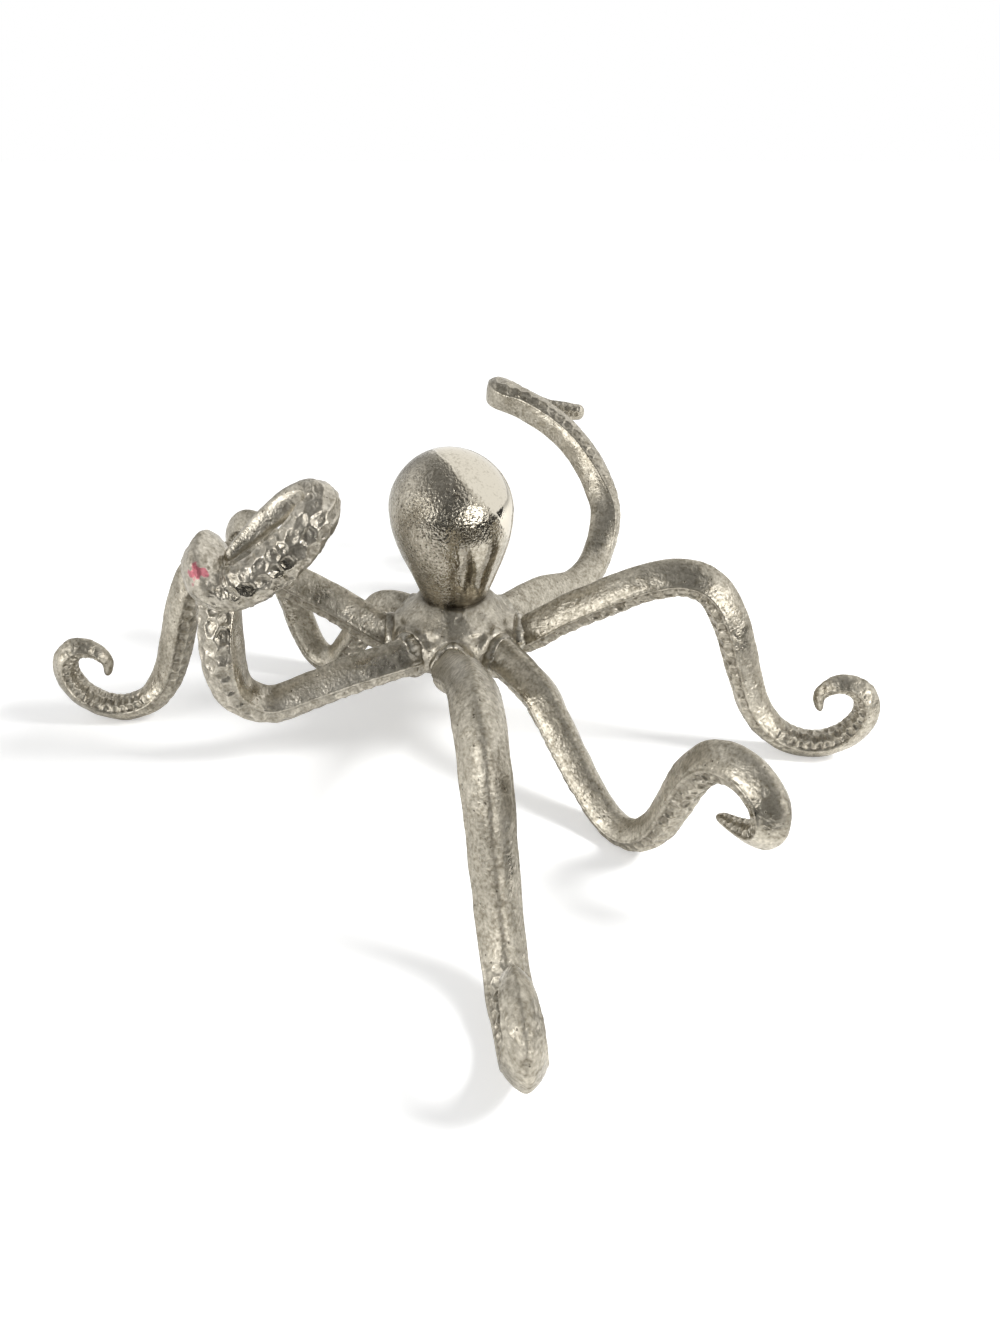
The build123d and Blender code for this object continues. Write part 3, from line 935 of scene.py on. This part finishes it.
@dataclass
class Arm(Piece):
    """One cast arm with its crest, parting ridges and suckers."""

    slot: ClassVar = Slot.ARM
    HUB_KNOTS: ClassVar = 3  # knots before the route's first row

    node: str
    heading: float
    reach: float
    height: float
    lean: float
    route: Route
    seat: Seat
    seed: int
    section: ArmSection = field(default_factory=ArmSection)
    face: SuckerFace = field(default_factory=SuckerFace)
    stub: float = 4.0 * MM
    swing: float = 62.0 * MM  # run over which the arm turns from its flat to its heading
    turn_rows: Pair = (-1.5, 1.5)  # rows over which its section does
    sunk: float = 9.0 * MM  # length inside the hub
    foot_rise: float = 5.65 * MM
    tip: float = 3.0 * MM  # length of the rounded tip
    rings: int = 720
    columns: int = 104
    fineness: int = 48  # points of the centre line to a row
    line_ease: float = 6.0  # easing of the line, the girth and the back, in such points
    girth_ease: float = 20.0
    back_ease: float = 18.0
    first_end: Pair = (0.3, 1.3)  # where the first face ends, in rows from the swap
    second_start: Pair = (-0.4, 0.6)
    plain_rows: Pair = (5.8, 7.4)  # where the end turns plain
    crest_width: float = 0.20  # of the raw strip along the crest
    lumps: Lumps = ((8.0 * MM, 0.26 * MM), (2.6 * MM, 0.078 * MM))
    lump_girth: float = 1.6
    crust_lumps: Lumps = ((5.0 * MM, 0.32 * MM), (1.9 * MM, 0.24 * MM))
    crust_seed: int = 90

    def knots(self) -> tuple[Array, Array]:
        """Points that the centre line passes, from inside the hub to the tip.

        Returns:
            The points, and the girth at each as a share of the root's.
        """
        ahead = plan(self.heading)
        aside = np.cross(UP, ahead)
        places = [self.seat.origin + self.seat.outward * step for step in (-self.sunk, 0.0, self.stub)]
        girths = [1.0] * self.HUB_KNOTS
        start = places[-1] - self.seat.axis
        for row in self.route.rows:
            run, side, lift, girth = (part / 1000 for part in row)
            rise = lift * (self.height - self.foot_rise)
            swung = min(max((run * self.reach - start @ ahead) / self.swing, 0.0), 1.0)
            off = start @ aside * (1.0 - 3.0 * swung**2 + 2.0 * swung**3)
            off += side * self.reach + self.lean * rise
            level = UP * (self.foot_rise + rise)
            places.append(self.seat.axis + ahead * (run * self.reach) + aside * off + level)
            girths.append(girth)
        return np.array(places), np.array(girths)

    def line(self) -> tuple[Array, Array, Array, Array]:
        """Centre line of the arm, finely divided.

        Returns:
            Its places, the way across the arm, the girth and the row of the route at each.
        """
        places, girths = self.knots()
        knots = np.concatenate([places[:1], places, places[-1:]])
        share = np.linspace(0.0, 1.0, self.fineness, endpoint=False)[:, None]
        curve = []
        for index in range(len(places) - 1):
            before, start, end, after = knots[index : index + 4]
            square = before * 2 - start * 5 + end * 4 - after
            cube = start * 3 - before - end * 3 + after
            curve.append(start + ((end - before) * share + square * share**2 + cube * share**3) / 2)
        curve = smoothed(np.concatenate(curve + [places[-1:]]), self.line_ease)
        row = np.arange(len(curve)) / self.fineness - self.HUB_KNOTS
        girth = np.interp(row, np.arange(len(girths)) - self.HUB_KNOTS, girths)
        along = unit(np.gradient(curve, axis=0))
        return curve, square_to(self.across(row, along), along), smoothed(girth, self.girth_ease), row

    def across(self, row: Array, along: Array) -> Array:
        """The way across the arm, from ridge to ridge.

        Args:
            row: places on the route.
            along: the way the arm runs at each.

        Returns:
            A vector for each place.
        """
        ahead = plan(self.heading)
        aside = np.cross(UP, ahead)
        if not self.route.backs:
            swung = soft_step(*self.turn_rows, row)[:, None]
            return self.seat.across * (1.0 - swung) + aside * swung
        keys = {-self.HUB_KNOTS: UP, -1: UP}
        for key, (run, side, lift) in self.route.backs.items():
            keys[key] = unit(ahead * run + aside * side + UP * lift)
        order = sorted(keys)
        facing = np.array([keys[key] for key in order])
        back = np.stack([np.interp(row, order, part) for part in facing.T], axis=1)
        return unit(np.cross(smoothed(back, self.back_ease), along))

    def frames(self) -> Rings:
        """Frames of the rings, spaced in step with the girth."""
        curve, across, girth, row = self.line()
        travel = travelled(curve)
        pitch = girth[1:] * self.section.width * self.face.pitch
        beat = np.concatenate([[0.0], np.cumsum(np.diff(travel) / pitch)])
        beats = np.linspace(0.0, beat[-1], self.rings)
        at = np.interp(beats, beat, travel)
        pick = [np.interp(at, travel, part) for part in (*curve.T, *across.T, girth, row)]
        places, across = np.stack(pick[:3], axis=1), np.stack(pick[3:6], axis=1)
        along = unit(np.gradient(places, axis=0))
        across = square_to(across, along)
        left = np.clip((travel[-1] - at) / self.tip, 0.0, 1.0)
        taper = np.sqrt(left * (2.0 - left))
        return Rings(places, across, np.cross(along, across), pick[6] * taper, beats, pick[7])

    def start(self) -> bpy.types.Object:
        """Add the grid that is rolled up into the arm."""
        bpy.ops.mesh.primitive_grid_add(
            x_subdivisions=self.columns, y_subdivisions=self.rings - 1, size=1.0
        )
        return Bench.taken(self.node + "_casting")

    def form(self, piece: bpy.types.Object) -> Form:
        """Roll up the grid and add the relief.

        Args:
            piece: the grid.

        Returns:
            The place, painted shade and rawness of each vertex.
        """
        flat = Bench.read(piece)
        column = np.round((flat[:, 0] + 0.5) * self.columns).astype(int)
        ring = np.round((flat[:, 1] + 0.5) * (self.rings - 1)).astype(int)
        outline, slant, over, half = self.section.outline(self.columns)
        rings = self.frames()
        upper = soft_step(-1.0, 1.0, self.route.swap - rings.row)[:, None, None]
        lower = np.array([1.0, -1.0]) * (1.0 - upper)
        shape = outline * upper + outline[::-1] * lower
        normal = unit((slant * upper + slant[::-1] * lower) / self.section.size)
        skin = rings.lay(shape * self.section.size * rings.girth[:, None, None])
        skin += rings.places[:, None, :]
        # painted shade of the suckers
        relief, shade_and_dirt = self.faces(rings, over, half)
        spread = skin.reshape(-1, 3)
        bumps = Relief(self.seed).lumps(spread, self.lumps).reshape(relief.shape)
        relief += bumps * np.clip(rings.girth * self.lump_girth, 0.0, 1.0)[:, None]
        crust = Relief(self.seed + self.crust_seed).lumps(spread, self.crust_lumps)
        relief += crust.reshape(relief.shape) * self.crusted(rings)[:, None]
        grid = skin + rings.lay(normal) * relief[..., None]
        grid[0], grid[-1] = rings.places[0], rings.places[-1]
        grid[..., 2] = np.maximum(grid[..., 2], 0.0)
        crest = bell(np.abs(over).max() - np.abs(over), self.crest_width)
        raw = crest * upper[..., 0] + crest[::-1] * (1.0 - upper[..., 0])
        return grid[ring, column], shade_and_dirt[ring, column], raw[ring, column]

    def faces(self, rings: Rings, over: Array, half: float) -> tuple[Array, Array]:
        """Relief and painted shade of the suckers, on both sides where the crest changes sides.

        Args:
            rings: the arm's rings.
            over: the distance of each column from the belly's middle, in widths.
            half: the distance of the ridges from there.

        Returns:
            The height of the relief and the painted shade, for each ring and column.
        """
        past, width = rings.row - self.route.swap, self.section.width
        share = self.route.cups * (1.0 - soft_step(*self.first_end, past))
        relief, shade_and_dirt = self.face.relief(rings, width, (over, half), share, self.seed)
        if past[-1] > 0.0:
            late, plain = self.route.late_cups
            share = soft_step(*self.second_start, past)
            share *= late - plain * soft_step(*self.plain_rows, past)
            more, spots = self.face.relief(rings, width, (over[::-1], half), share, self.seed)
            relief, shade_and_dirt = relief + more, np.maximum(shade_and_dirt, spots)
        return relief, shade_and_dirt

    def crusted(self, rings: Rings) -> Array:
        """How much of the crust each ring has."""
        past, crust = rings.row - self.route.swap, self.route.crust
        share = soft_step(*crust.rows, past) * soft_step(*crust.girth, rings.girth) * crust.share
        return share * (1.0 - crust.ease * soft_step(*self.plain_rows, past))


@dataclass
class WeldBead(Piece):
    """Rough bead round the root of an arm."""

    slot: ClassVar = Slot.WELD

    node: str
    seat: Seat
    seed: int
    section: ArmSection = field(default_factory=ArmSection)
    thick: float = 1.9 * MM
    spread: Pair = (0.72, 1.5)  # its girth round the arm and along it, of the thickness
    shift: Pair = (-0.10 * MM, 0.2 * MM)  # of its middle, outwards and along the arm
    swell: Lumps = ((6.5 * MM, 0.50), (2.4 * MM, 0.28))  # of its thickness
    wander: Lumps = ((8.0 * MM, 1.1 * MM),)
    stain: float = 0.10
    darkness: Lumps = ((2.8 * MM, 0.45),)
    columns: int = 168
    sides: int = 18

    def start(self) -> bpy.types.Object:
        """Add the torus that the bead is formed from."""
        bpy.ops.mesh.primitive_torus_add(
            major_segments=self.columns, minor_segments=self.sides, major_radius=1.0, minor_radius=0.25
        )
        return Bench.taken(self.node + "_bead")

    def form(self, piece: bpy.types.Object) -> Form:
        """Lay the torus round the arm's section.

        Args:
            piece: the torus.

        Returns:
            The place and dirt of each vertex.
        """
        flat = Bench.read(piece)
        round_angle = np.arctan2(flat[:, 1], flat[:, 0])
        tube_angle = np.arctan2(flat[:, 2], np.hypot(flat[:, 0], flat[:, 1]) - 1.0)
        outline, slant, _, _ = self.section.outline(self.columns, halved=False)
        index = np.round(round_angle / (2 * math.pi) * self.columns).astype(int) % self.columns
        way = unit(slant / self.section.size)[index]
        ring = outline[index] * self.section.size
        noise = Relief(self.seed)
        on_ring = self.lay(ring, np.zeros(len(ring)))
        thick = self.thick * (1.0 + noise.lumps(on_ring, self.swell))
        beyond = np.cos(tube_angle) * thick * self.spread[0] + self.shift[0]
        ahead = np.sin(tube_angle) * thick * self.spread[1] + self.shift[1]
        ahead += noise.lumps(on_ring, self.wander)
        points = self.lay(ring + way * beyond[:, None], ahead)
        return points, self.stain + noise.lumps(points, self.darkness), None

    def lay(self, flat: Array, ahead: Array) -> Array:
        """Places in space from places on the hub's flat and distances out of it."""
        level = self.seat.origin + flat[:, :1] * self.seat.across + flat[:, 1:] * UP
        return level + ahead[:, None] * self.seat.outward


@dataclass
class NeckBead(Piece):
    """Rough bead between the mantle's neck and the hub's crown."""

    slot: ClassVar = Slot.WELD

    axis: Array
    node: str = "neck_weld"
    radius: float = 13.6 * MM
    level: float = 61.6 * MM
    thick: float = 1.8 * MM
    spread: Triple = (1.3, 1.3, 0.9)  # its girth, of the thickness
    swell: Lumps = ((6.0 * MM, 0.45), (2.3 * MM, 0.22))
    stain: float = 0.55
    darkness: Lumps = ((3.0 * MM, 0.5),)
    columns: int = 220
    sides: int = 20
    seed: int = 71

    def start(self) -> bpy.types.Object:
        """Add the torus that the bead is formed from."""
        bpy.ops.mesh.primitive_torus_add(
            major_segments=self.columns, minor_segments=self.sides,
            major_radius=self.radius, minor_radius=self.thick,
        )
        return Bench.taken("neck_bead")

    def form(self, piece: bpy.types.Object) -> Form:
        """Make the torus uneven and lift it to the neck.

        Args:
            piece: the torus.

        Returns:
            The place and dirt of each vertex.
        """
        flat = Bench.read(piece)
        ring = unit(flat * (1.0 - UP)) * self.radius
        noise = Relief(self.seed)
        swell = 1.0 + noise.lumps(ring, self.swell)
        points = ring + (flat - ring) * swell[:, None] * np.array(self.spread)
        points += self.axis + UP * self.level
        return points, self.stain + noise.lumps(points, self.darkness), None


@dataclass
class Hub(Piece):
    """Lumpy boss that carries the mantle and the arms."""

    slot: ClassVar = Slot.HUB

    axis: Array
    seats: list[Seat]
    node: str = "hub"
    radius: float = 28.2 * MM
    top: float = 61.2 * MM
    foot: float = 31.4 * MM
    swell: float = 0.6 * MM  # of the boss above and below
    crown: Triple = (24.0 * MM, 15.2 * MM, 9.0 * MM)  # lower and upper radius, and depth
    crown_drop: float = 0.4 * MM  # of its middle below the top
    stub: Triple = (10.403 * MM, 0.79, 0.42)  # radius; length and place inside, of the apothem
    collar: Pair = (5.252 * MM, 4.0 * MM)  # radius, and distance inside the flat
    voxel: float = 0.75 * MM
    ease: float = 0.5
    ease_rounds: int = 34
    lumps: Lumps = ((11.0 * MM, 0.80 * MM), (3.6 * MM, 0.18 * MM))
    pock_size: float = 4.1 * MM
    pock_edge: Pair = (0.45, 0.75)
    pock_depth: float = 0.35 * MM
    pock_dirt: float = 0.30
    crease_edge: Pair = (0.75, 1.0)  # where creases are, from the middle of a lobe to the next
    crease_from: Pair = (21.0 * MM, 27.0 * MM)
    # painted shade in the creases between the root lobes
    crease_shade: float = 0.18
    neck_reach: Pair = (-19.0 * MM, -13.5 * MM)  # inwards, hence below zero
    neck_level: Pair = (55.0 * MM, 61.0 * MM)
    neck_dirt: float = 0.60
    seed: int = 23

    def start(self) -> bpy.types.Object:
        """Join the boss, the crown and the arms' lobes, and melt them into one skin.

        Returns:
            The joined hub.
        """
        middle = self.axis + UP * ((self.top + self.foot) / 2)
        bpy.ops.mesh.primitive_uv_sphere_add(segments=64, ring_count=32, radius=1.0, location=tuple(middle))
        piece = Bench.taken("hub_casting")
        half = (self.top - self.foot) / 2 + self.swell
        bpy.ops.transform.resize(value=(self.radius, self.radius, half))
        crown = self.axis + UP * (self.top - self.crown_drop)
        low, high, depth = self.crown
        bpy.ops.mesh.primitive_cone_add(
            vertices=64, radius1=low, radius2=high, depth=depth, location=tuple(crown)
        )
        parts = [piece, bpy.context.active_object]
        for seat in self.seats:
            parts += self.root(seat)
        Bench.clear()
        for part in parts:
            part.select_set(True)
        bpy.context.view_layer.objects.active = piece
        bpy.ops.object.join()
        bpy.ops.object.transform_apply(location=True, rotation=True, scale=True)
        melt = piece.modifiers.new("melt", "REMESH")
        melt.mode = "VOXEL"
        melt.voxel_size = self.voxel
        ease = piece.modifiers.new("ease", "SMOOTH")
        ease.factor = self.ease
        ease.iterations = self.ease_rounds
        for name in (melt.name, ease.name):
            bpy.ops.object.modifier_apply(modifier=name)
        return piece

    def root(self, seat: Seat) -> list[bpy.types.Object]:
        """Root lobe for one arm: a rounded stub that ends in a collar.

        Args:
            seat: the flat that the arm stands on.

        Returns:
            The stub and its collar.
        """
        turn = (math.pi / 2, 0.0, math.radians(seat.angle) + math.pi / 2)
        radius, length, inside = self.stub
        inner = seat.origin - seat.outward * seat.apothem * inside
        bpy.ops.mesh.primitive_cylinder_add(
            vertices=40, radius=radius, depth=seat.apothem * length, location=tuple(inner), rotation=turn
        )
        stub = bpy.context.active_object
        radius, inside = self.collar
        end = seat.origin - seat.outward * inside
        bpy.ops.mesh.primitive_uv_sphere_add(segments=32, ring_count=16, radius=radius, location=tuple(end))
        return [stub, bpy.context.active_object]

    def form(self, piece: bpy.types.Object) -> Form:
        """Make the skin lumpy and pocked.

        Args:
            piece: the joined hub.

        Returns:
            The place, and the dirt and painted shade, of each vertex.
        """
        points = Bench.read(piece)
        noise = Relief(self.seed)
        pock = soft_step(*self.pock_edge, noise.noise(points, self.pock_size))
        height = noise.lumps(points, self.lumps) - pock * self.pock_depth
        points += Bench.read(piece, "normal") * height[:, None]
        return points, pock * self.pock_dirt + self.valleys(points), None

    def valleys(self, points: Array) -> Array:
        """Painted shade in the creases between the root lobes, and dirt round the neck.

        Args:
            points: the hub's vertices.

        Returns:
            A value from 0 to 1 a vertex.
        """
        beside, behind, _ = (points - self.axis).T
        angles = np.degrees(np.arctan2(behind, beside))
        half = 180.0 / len(self.seats)
        off = np.abs((angles - self.seats[0].angle + half) % (2 * half) - half) / half
        far = np.hypot(beside, behind)
        # painted shade in the creases between lobes
        crease = soft_step(*self.crease_edge, off) * soft_step(*self.crease_from, far)
        neck = soft_step(*self.neck_reach, -far) * soft_step(*self.neck_level, points[:, 2])
        return crease * self.crease_shade + neck * self.neck_dirt


@dataclass
class Mantle(Piece):
    """Egg-shaped mantle with flutes that run up from its neck."""

    slot: ClassVar = Slot.MANTLE

    axis: Array
    node: str = "mantle"
    foot: float = 60.7 * MM
    heart: float = 101.0 * MM  # level that the polish is laid out from
    height: float = 68.0 * MM
    widest: float = 25.8 * MM
    widest_share: float = 0.63
    fullness: float = 1.95  # 2 would be an ellipse above the widest point
    lean: float = 1.2 * MM  # of the summit, to the left
    flutes: int = 11
    flute_depth: float = 0.10 * MM
    flute_edge: Pair = (0.15, 0.95)
    flute_wander: Lumps = ((0.45, 1.4),)  # round a circle of radius 1
    flute_reach: float = 25.0 * MM
    flute_stray: Lumps = ((0.5, 6.0 * MM),)
    flute_start: float = 4.0 * MM  # height over which they set in
    flute_fall: float = 0.8  # how they fade upwards, as a power
    flute_ends: Triple = (0.0, 0.35, 0.75)  # soft step of their ends, and what it starts from
    # how much darker the flute grooves are
    flute_darkening: float = 0.10
    lumps: Lumps = ((16.0 * MM, 0.20 * MM), (6.0 * MM, 0.07 * MM))
    lump_radius: float = 8.0 * MM  # within which they fade towards the axis
    soot: float = 0.85
    soot_reach: float = 15.0 * MM
    soot_stray: Lumps = ((5.0 * MM, 4.0 * MM),)
    segments: int = 300
    rings: int = 230
    cap: int = 6  # rings that close the neck
    cap_drop: float = 1.2 * MM
    steps: int = 400  # points of each half of the profile
    neck_ease: float = 12.0
    seed: int = 5
    lower: tuple[Pair, ...] = (
        (0.000, 0.5190), (0.0353, 0.5194), (0.0995, 0.5752), (0.1640, 0.6397), (0.2282, 0.7100),
        (0.2925, 0.7824), (0.3569, 0.8518), (0.4212, 0.9120), (0.4854, 0.9580), (0.5499, 0.9873),
        (0.6300, 1.0000),
    )  # height and radius, of the height and the widest radius

    def profile(self, rows: int) -> tuple[Array, Array]:
        """Outline from the neck's foot to the summit, evenly divided.

        Args:
            rows: the number of points.

        Returns:
            Radius and height at each point.
        """
        level = np.linspace(0.0, self.widest_share, self.steps)
        radius = smoothed(np.interp(level, *np.array(self.lower).T), self.neck_ease)
        turn = np.linspace(0.0, math.pi / 2, self.steps)[1:]
        over = np.sin(turn) ** (2.0 / self.fullness) * (1.0 - self.widest_share)
        rest = np.clip(np.cos(turn), 0.0, 1.0) ** (2.0 / self.fullness)
        level = np.concatenate([level, self.widest_share + over]) * self.height
        radius = np.concatenate([radius, rest]) * self.widest
        travel = travelled(np.stack([radius, level], axis=1))
        even = np.linspace(0.0, travel[-1], rows)
        return np.interp(even, travel, radius), np.interp(even, travel, level)

    def start(self) -> bpy.types.Object:
        """Add the sphere that the mantle is formed from."""
        bpy.ops.mesh.primitive_uv_sphere_add(
            segments=self.segments, ring_count=self.rings, radius=1.0
        )
        return Bench.taken("mantle_casting")

    def form(self, piece: bpy.types.Object) -> Form:
        """Give the sphere its profile, flutes and lumps.

        Args:
            piece: the sphere.

        Returns:
            The place, and the soot and darker grooves, of each vertex.
        """
        flat = Bench.read(piece)
        turn = np.arcsin(np.clip(flat[:, 2], -1.0, 1.0)) / math.pi + 0.5
        row = np.round(turn * self.rings).astype(int)
        around = np.arctan2(flat[:, 1], flat[:, 0])
        radius, level = self.profile(self.rings - self.cap + 1)
        closing = np.linspace(0.0, radius[0], self.cap, endpoint=False)
        radius = np.concatenate([closing, radius])[row]
        up = np.concatenate([np.full(self.cap, -self.cap_drop), level])[row]
        noise = Relief(self.seed)
        spot = np.stack([np.cos(around), np.sin(around), np.zeros(len(around))], axis=1)
        wave = np.cos(around * self.flutes + noise.lumps(spot, self.flute_wander))
        groove = soft_step(*self.flute_edge, wave)
        reach = self.flute_reach + noise.lumps(spot + 9.0, self.flute_stray)
        fade = np.clip(1.0 - up / reach, 0.0, 1.0) ** self.flute_fall
        fade *= soft_step(0.0, self.flute_start, up)
        low, high, shift = self.flute_ends
        groove *= soft_step(low, high, fade + groove - shift) * fade
        points = spot * radius[:, None] + UP * up[:, None]
        swell = noise.lumps(points, self.lumps) - groove * self.flute_depth
        points += spot * (swell * np.clip(radius / self.lump_radius, 0.0, 1.0))[:, None]
        soot = soft_step(self.soot_reach, 0.0, up + noise.lumps(points, self.soot_stray))
        points[:, 0] -= self.lean * (up / self.height) ** 2
        points += self.axis + UP * self.foot
        # darker in the flute grooves, and sooty near the neck
        return points, groove * self.flute_darkening + soot * self.soot, None


@dataclass(frozen=True)
class Glow:
    """Bright part of the room: which way it lies, how its edge fades, and its strength."""

    way: Triple
    edge: Pair
    strength: float = 1.0

    def light(self, graph: Graph, way: Any) -> Value:
        """What it adds to the light from a direction."""
        return graph.towards(way, self.way).step(*self.edge) * self.strength


@dataclass
class Studio:
    """Pale floor, white surroundings, soft lamps and the camera."""

    camera_place: Triple = (20.685 * MM, -374.177 * MM, 250.73 * MM)
    camera_pitch: float = 60.3
    lens: float = 27.007
    sensor: float = 36.0
    clip_start: float = 0.01
    lamps: tuple[tuple[str, Triple, float, float], ...] = (
        ("key_lamp", (0.80, -0.18, 0.80), 0.34, 17.0),
        ("fill_lamp", (-0.60, -0.45, 0.90), 0.80, 3.0),
    )  # name, place, length of the sides and power in watts
    lamp_target: float = 0.05  # height that the lamps face
    floor_size: float = 9.0
    floor_drop: float = 0.2 * MM
    floor_colour: Triple = (0.72, 0.72, 0.715)
    floor_mirrored: float = 0.45  # share of its glow that the metal mirrors
    floor_glow: Pair = (0.42, 0.40)  # near, and what is added far away
    floor_far: Pair = (0.25, 1.6)
    sheet_end: Glow = Glow((0.40, -0.92, 0.0), (0.105, 0.135))  # the white sheet's end, mirrored only
    sheet_rays: Pair = (0.09, 0.15)  # length of the rays that find it
    beyond_sheet: float = 0.06
    walls: tuple[Glow, ...] = (
        Glow((-0.95, -0.20, 0.15), (0.25, 0.90), 0.50), Glow((-0.35, 0.93, 0.10), (-0.10, 0.55), 0.32)
    )
    wall_light: float = 0.13
    ceiling_from: Pair = (0.58, 0.93)
    ceiling_light: float = 0.30
    bright_side: Glow = Glow((0.85, 0.50, 0.15), (0.20, 0.42))
    bright_light: float = 1.12
    windows: tuple[Glow, ...] = (
        Glow((0.69, -0.70, 0.06), (0.920, 0.978), 4.5), Glow((-0.80, -0.56, 0.14), (0.90, 0.985), 3.0)
    )
    fill_light: float = 0.42  # for rays that are not mirrored

    def build(self) -> None:
        """Set up the stage."""
        bpy.context.scene.view_settings.view_transform = "Standard"
        self.camera()
        self.floor()
        self.world()
        for lamp in self.lamps:
            self.lamp(*lamp)

    def camera(self) -> None:
        """Add the camera at the photograph's viewing angle."""
        data = bpy.data.cameras.new("camera")
        data.sensor_fit = "VERTICAL"
        data.sensor_height = self.sensor
        data.lens = self.lens
        data.clip_start = self.clip_start
        camera = bpy.data.objects.new("camera", data)
        camera.location = self.camera_place
        camera.rotation_euler = (math.radians(self.camera_pitch), 0.0, 0.0)
        bpy.context.scene.collection.objects.link(camera)
        bpy.context.scene.camera = camera

    def lamp(self, name: str, place: Triple, size: float, power: float) -> None:
        """Add a soft lamp that faces the ornament.

        Args:
            name: its name.
            place: where it hangs.
            size: the length of its sides.
            power: its power in watts.
        """
        data = bpy.data.lights.new(name, "AREA")
        data.size = size
        data.energy = power
        lamp = bpy.data.objects.new(name, data)
        beside, behind, above = np.array(place) - UP * self.lamp_target
        tilt = math.atan2(math.hypot(beside, behind), above)
        lamp.location = place
        lamp.rotation_euler = (tilt, 0.0, math.atan2(behind, beside) + math.pi / 2)
        lamp.visible_glossy = False
        bpy.context.scene.collection.objects.link(lamp)

    def floor(self) -> None:
        """Add the pale floor, which shows white but keeps the shadows."""
        Bench.clear()
        bpy.ops.mesh.primitive_plane_add(size=self.floor_size, location=(0.0, 0.0, -self.floor_drop))
        floor = Bench.taken("floor")
        bpy.ops.object.transform_apply(location=True)
        material, graph = Graph.of_material("floor_paper")
        rays = graph.node("LightPath").outputs
        coords = graph.node("TexCoord").outputs["Object"]
        glossy = Value(graph, rays["Is Glossy Ray"])
        seen = (Value(graph, rays["Is Camera Ray"]) + glossy * self.floor_mirrored).clamped()
        near, added = self.floor_glow
        glow = near + graph.vector("LENGTH", coords).step(*self.floor_far) * added
        diffuse = graph.node("BsdfDiffuse", {"Color": (*self.floor_colour, 1.0)}).outputs[0]
        shine = graph.node("Emission", {"Strength": seen * glow}).outputs[0]
        paper = graph.node("AddShader", {0: diffuse, 1: shine}).outputs[0]
        beyond = self.sheet_end.light(graph, coords)
        beyond = beyond * Value(graph, rays["Ray Length"]).step(*self.sheet_rays)
        dim = graph.node("Emission", {"Strength": self.beyond_sheet}).outputs[0]
        sheet = graph.node("MixShader", {0: glossy * beyond, 1: paper, 2: dim})
        graph.node("OutputMaterial", {"Surface": sheet.outputs[0]})
        floor.data.materials.append(material)

    def world(self) -> None:
        """White surroundings for the camera, and a plain room for the metal to mirror."""
        world = bpy.data.worlds.new("studio")
        bpy.context.scene.world = world
        world.use_nodes = True
        graph = Graph(world.node_tree)
        rays = graph.node("LightPath").outputs
        way = graph.node("TexCoord").outputs["Generated"]
        room = sum((wall.light(graph, way) for wall in self.walls), self.wall_light)
        ceiling = graph.part(way, 2).step(*self.ceiling_from)
        room = room + ceiling * (self.ceiling_light - room)
        room = room + self.bright_side.light(graph, way) * (self.bright_light - room)
        room = sum((window.light(graph, way) for window in self.windows), room)
        camera, glossy = (Value(graph, rays[name]) for name in ("Is Camera Ray", "Is Glossy Ray"))
        strength = glossy * room + (1.0 - glossy) * self.fill_light
        strength = camera + (1.0 - camera) * strength
        sky = graph.node("Background", {"Color": (1.0, 1.0, 1.0, 1.0), "Strength": strength})
        graph.node("OutputWorld", {"Surface": sky.outputs[0]})


@dataclass
class Octopus:
    """The whole ornament."""

    axis: Array
    first_seat: float = -90.0  # angle of the front flat
    first_seed: int = 11
    bead_seeds: int = 40  # from an arm's seed to its bead's
    plans: tuple[tuple[str, float, float, float, float, Route], ...] = (
        ("arm_front", -82.5, 208.5, 81.0, -0.045, ARCH),
        ("arm_front_right", -52.0, 173.0, 63.0, 0.0, DIP),
        ("arm_right", -10.0, 177.0, 81.0, 0.0, ARCH),
        ("arm_back_right", 50.0, 150.0, 116.0, 0.0, SWEEP),
        ("arm_back", 92.0, 177.0, 81.0, 0.0, ARCH),
        ("arm_back_left", 147.0, 132.0, 72.0, 0.0, HUMP),
        ("arm_left", 179.0, 177.0, 81.0, 0.0, ARCH),
        ("arm_front_left", -160.0, 100.0, 118.0, 0.0, CURL),
    )  # node, heading, reach and height in millimetres, lean and route

    def seats(self) -> list[Seat]:
        """The hub's flats, from the front."""
        step = 360.0 / len(self.plans)
        return [Seat(self.axis, self.first_seat + step * number) for number in range(len(self.plans))]

    def build(self) -> None:
        """Model and dress every piece."""
        middle = self.axis + UP * Seat.middle
        skin, marked, boss, bead = (
            finish.material(middle) for finish in (ARM_FINISH, CURL_FINISH, HUB_FINISH, BEAD_FINISH)
        )
        mantle, seats = Mantle(self.axis), self.seats()
        shell = MANTLE_FINISH.material(self.axis + UP * mantle.heart)
        Hub(self.axis, seats).build(boss)
        mantle.build(shell)
        NeckBead(self.axis).build(bead)
        for seed, (plan_row, seat) in enumerate(zip(self.plans, seats), self.first_seed):
            node, heading, reach, height, lean, route = plan_row
            arm = Arm(node, heading, reach * MM, height * MM, lean, route, seat, seed)
            arm.build(marked if route is CURL else skin)
            WeldBead(node.replace("arm", "weld"), seat, seed + self.bead_seeds).build(bead)


def main() -> None:
    """Build the ornament and its stage, and note the sizes."""
    logging.basicConfig(level=logging.INFO, format="%(name)s: %(message)s")
    low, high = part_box("hub")
    axis = np.array([(low[0] + high[0]) / 2, (low[1] + high[1]) / 2, 0.0])
    Octopus(axis).build()
    Studio().build()


if __name__ == "__main__":
    main()
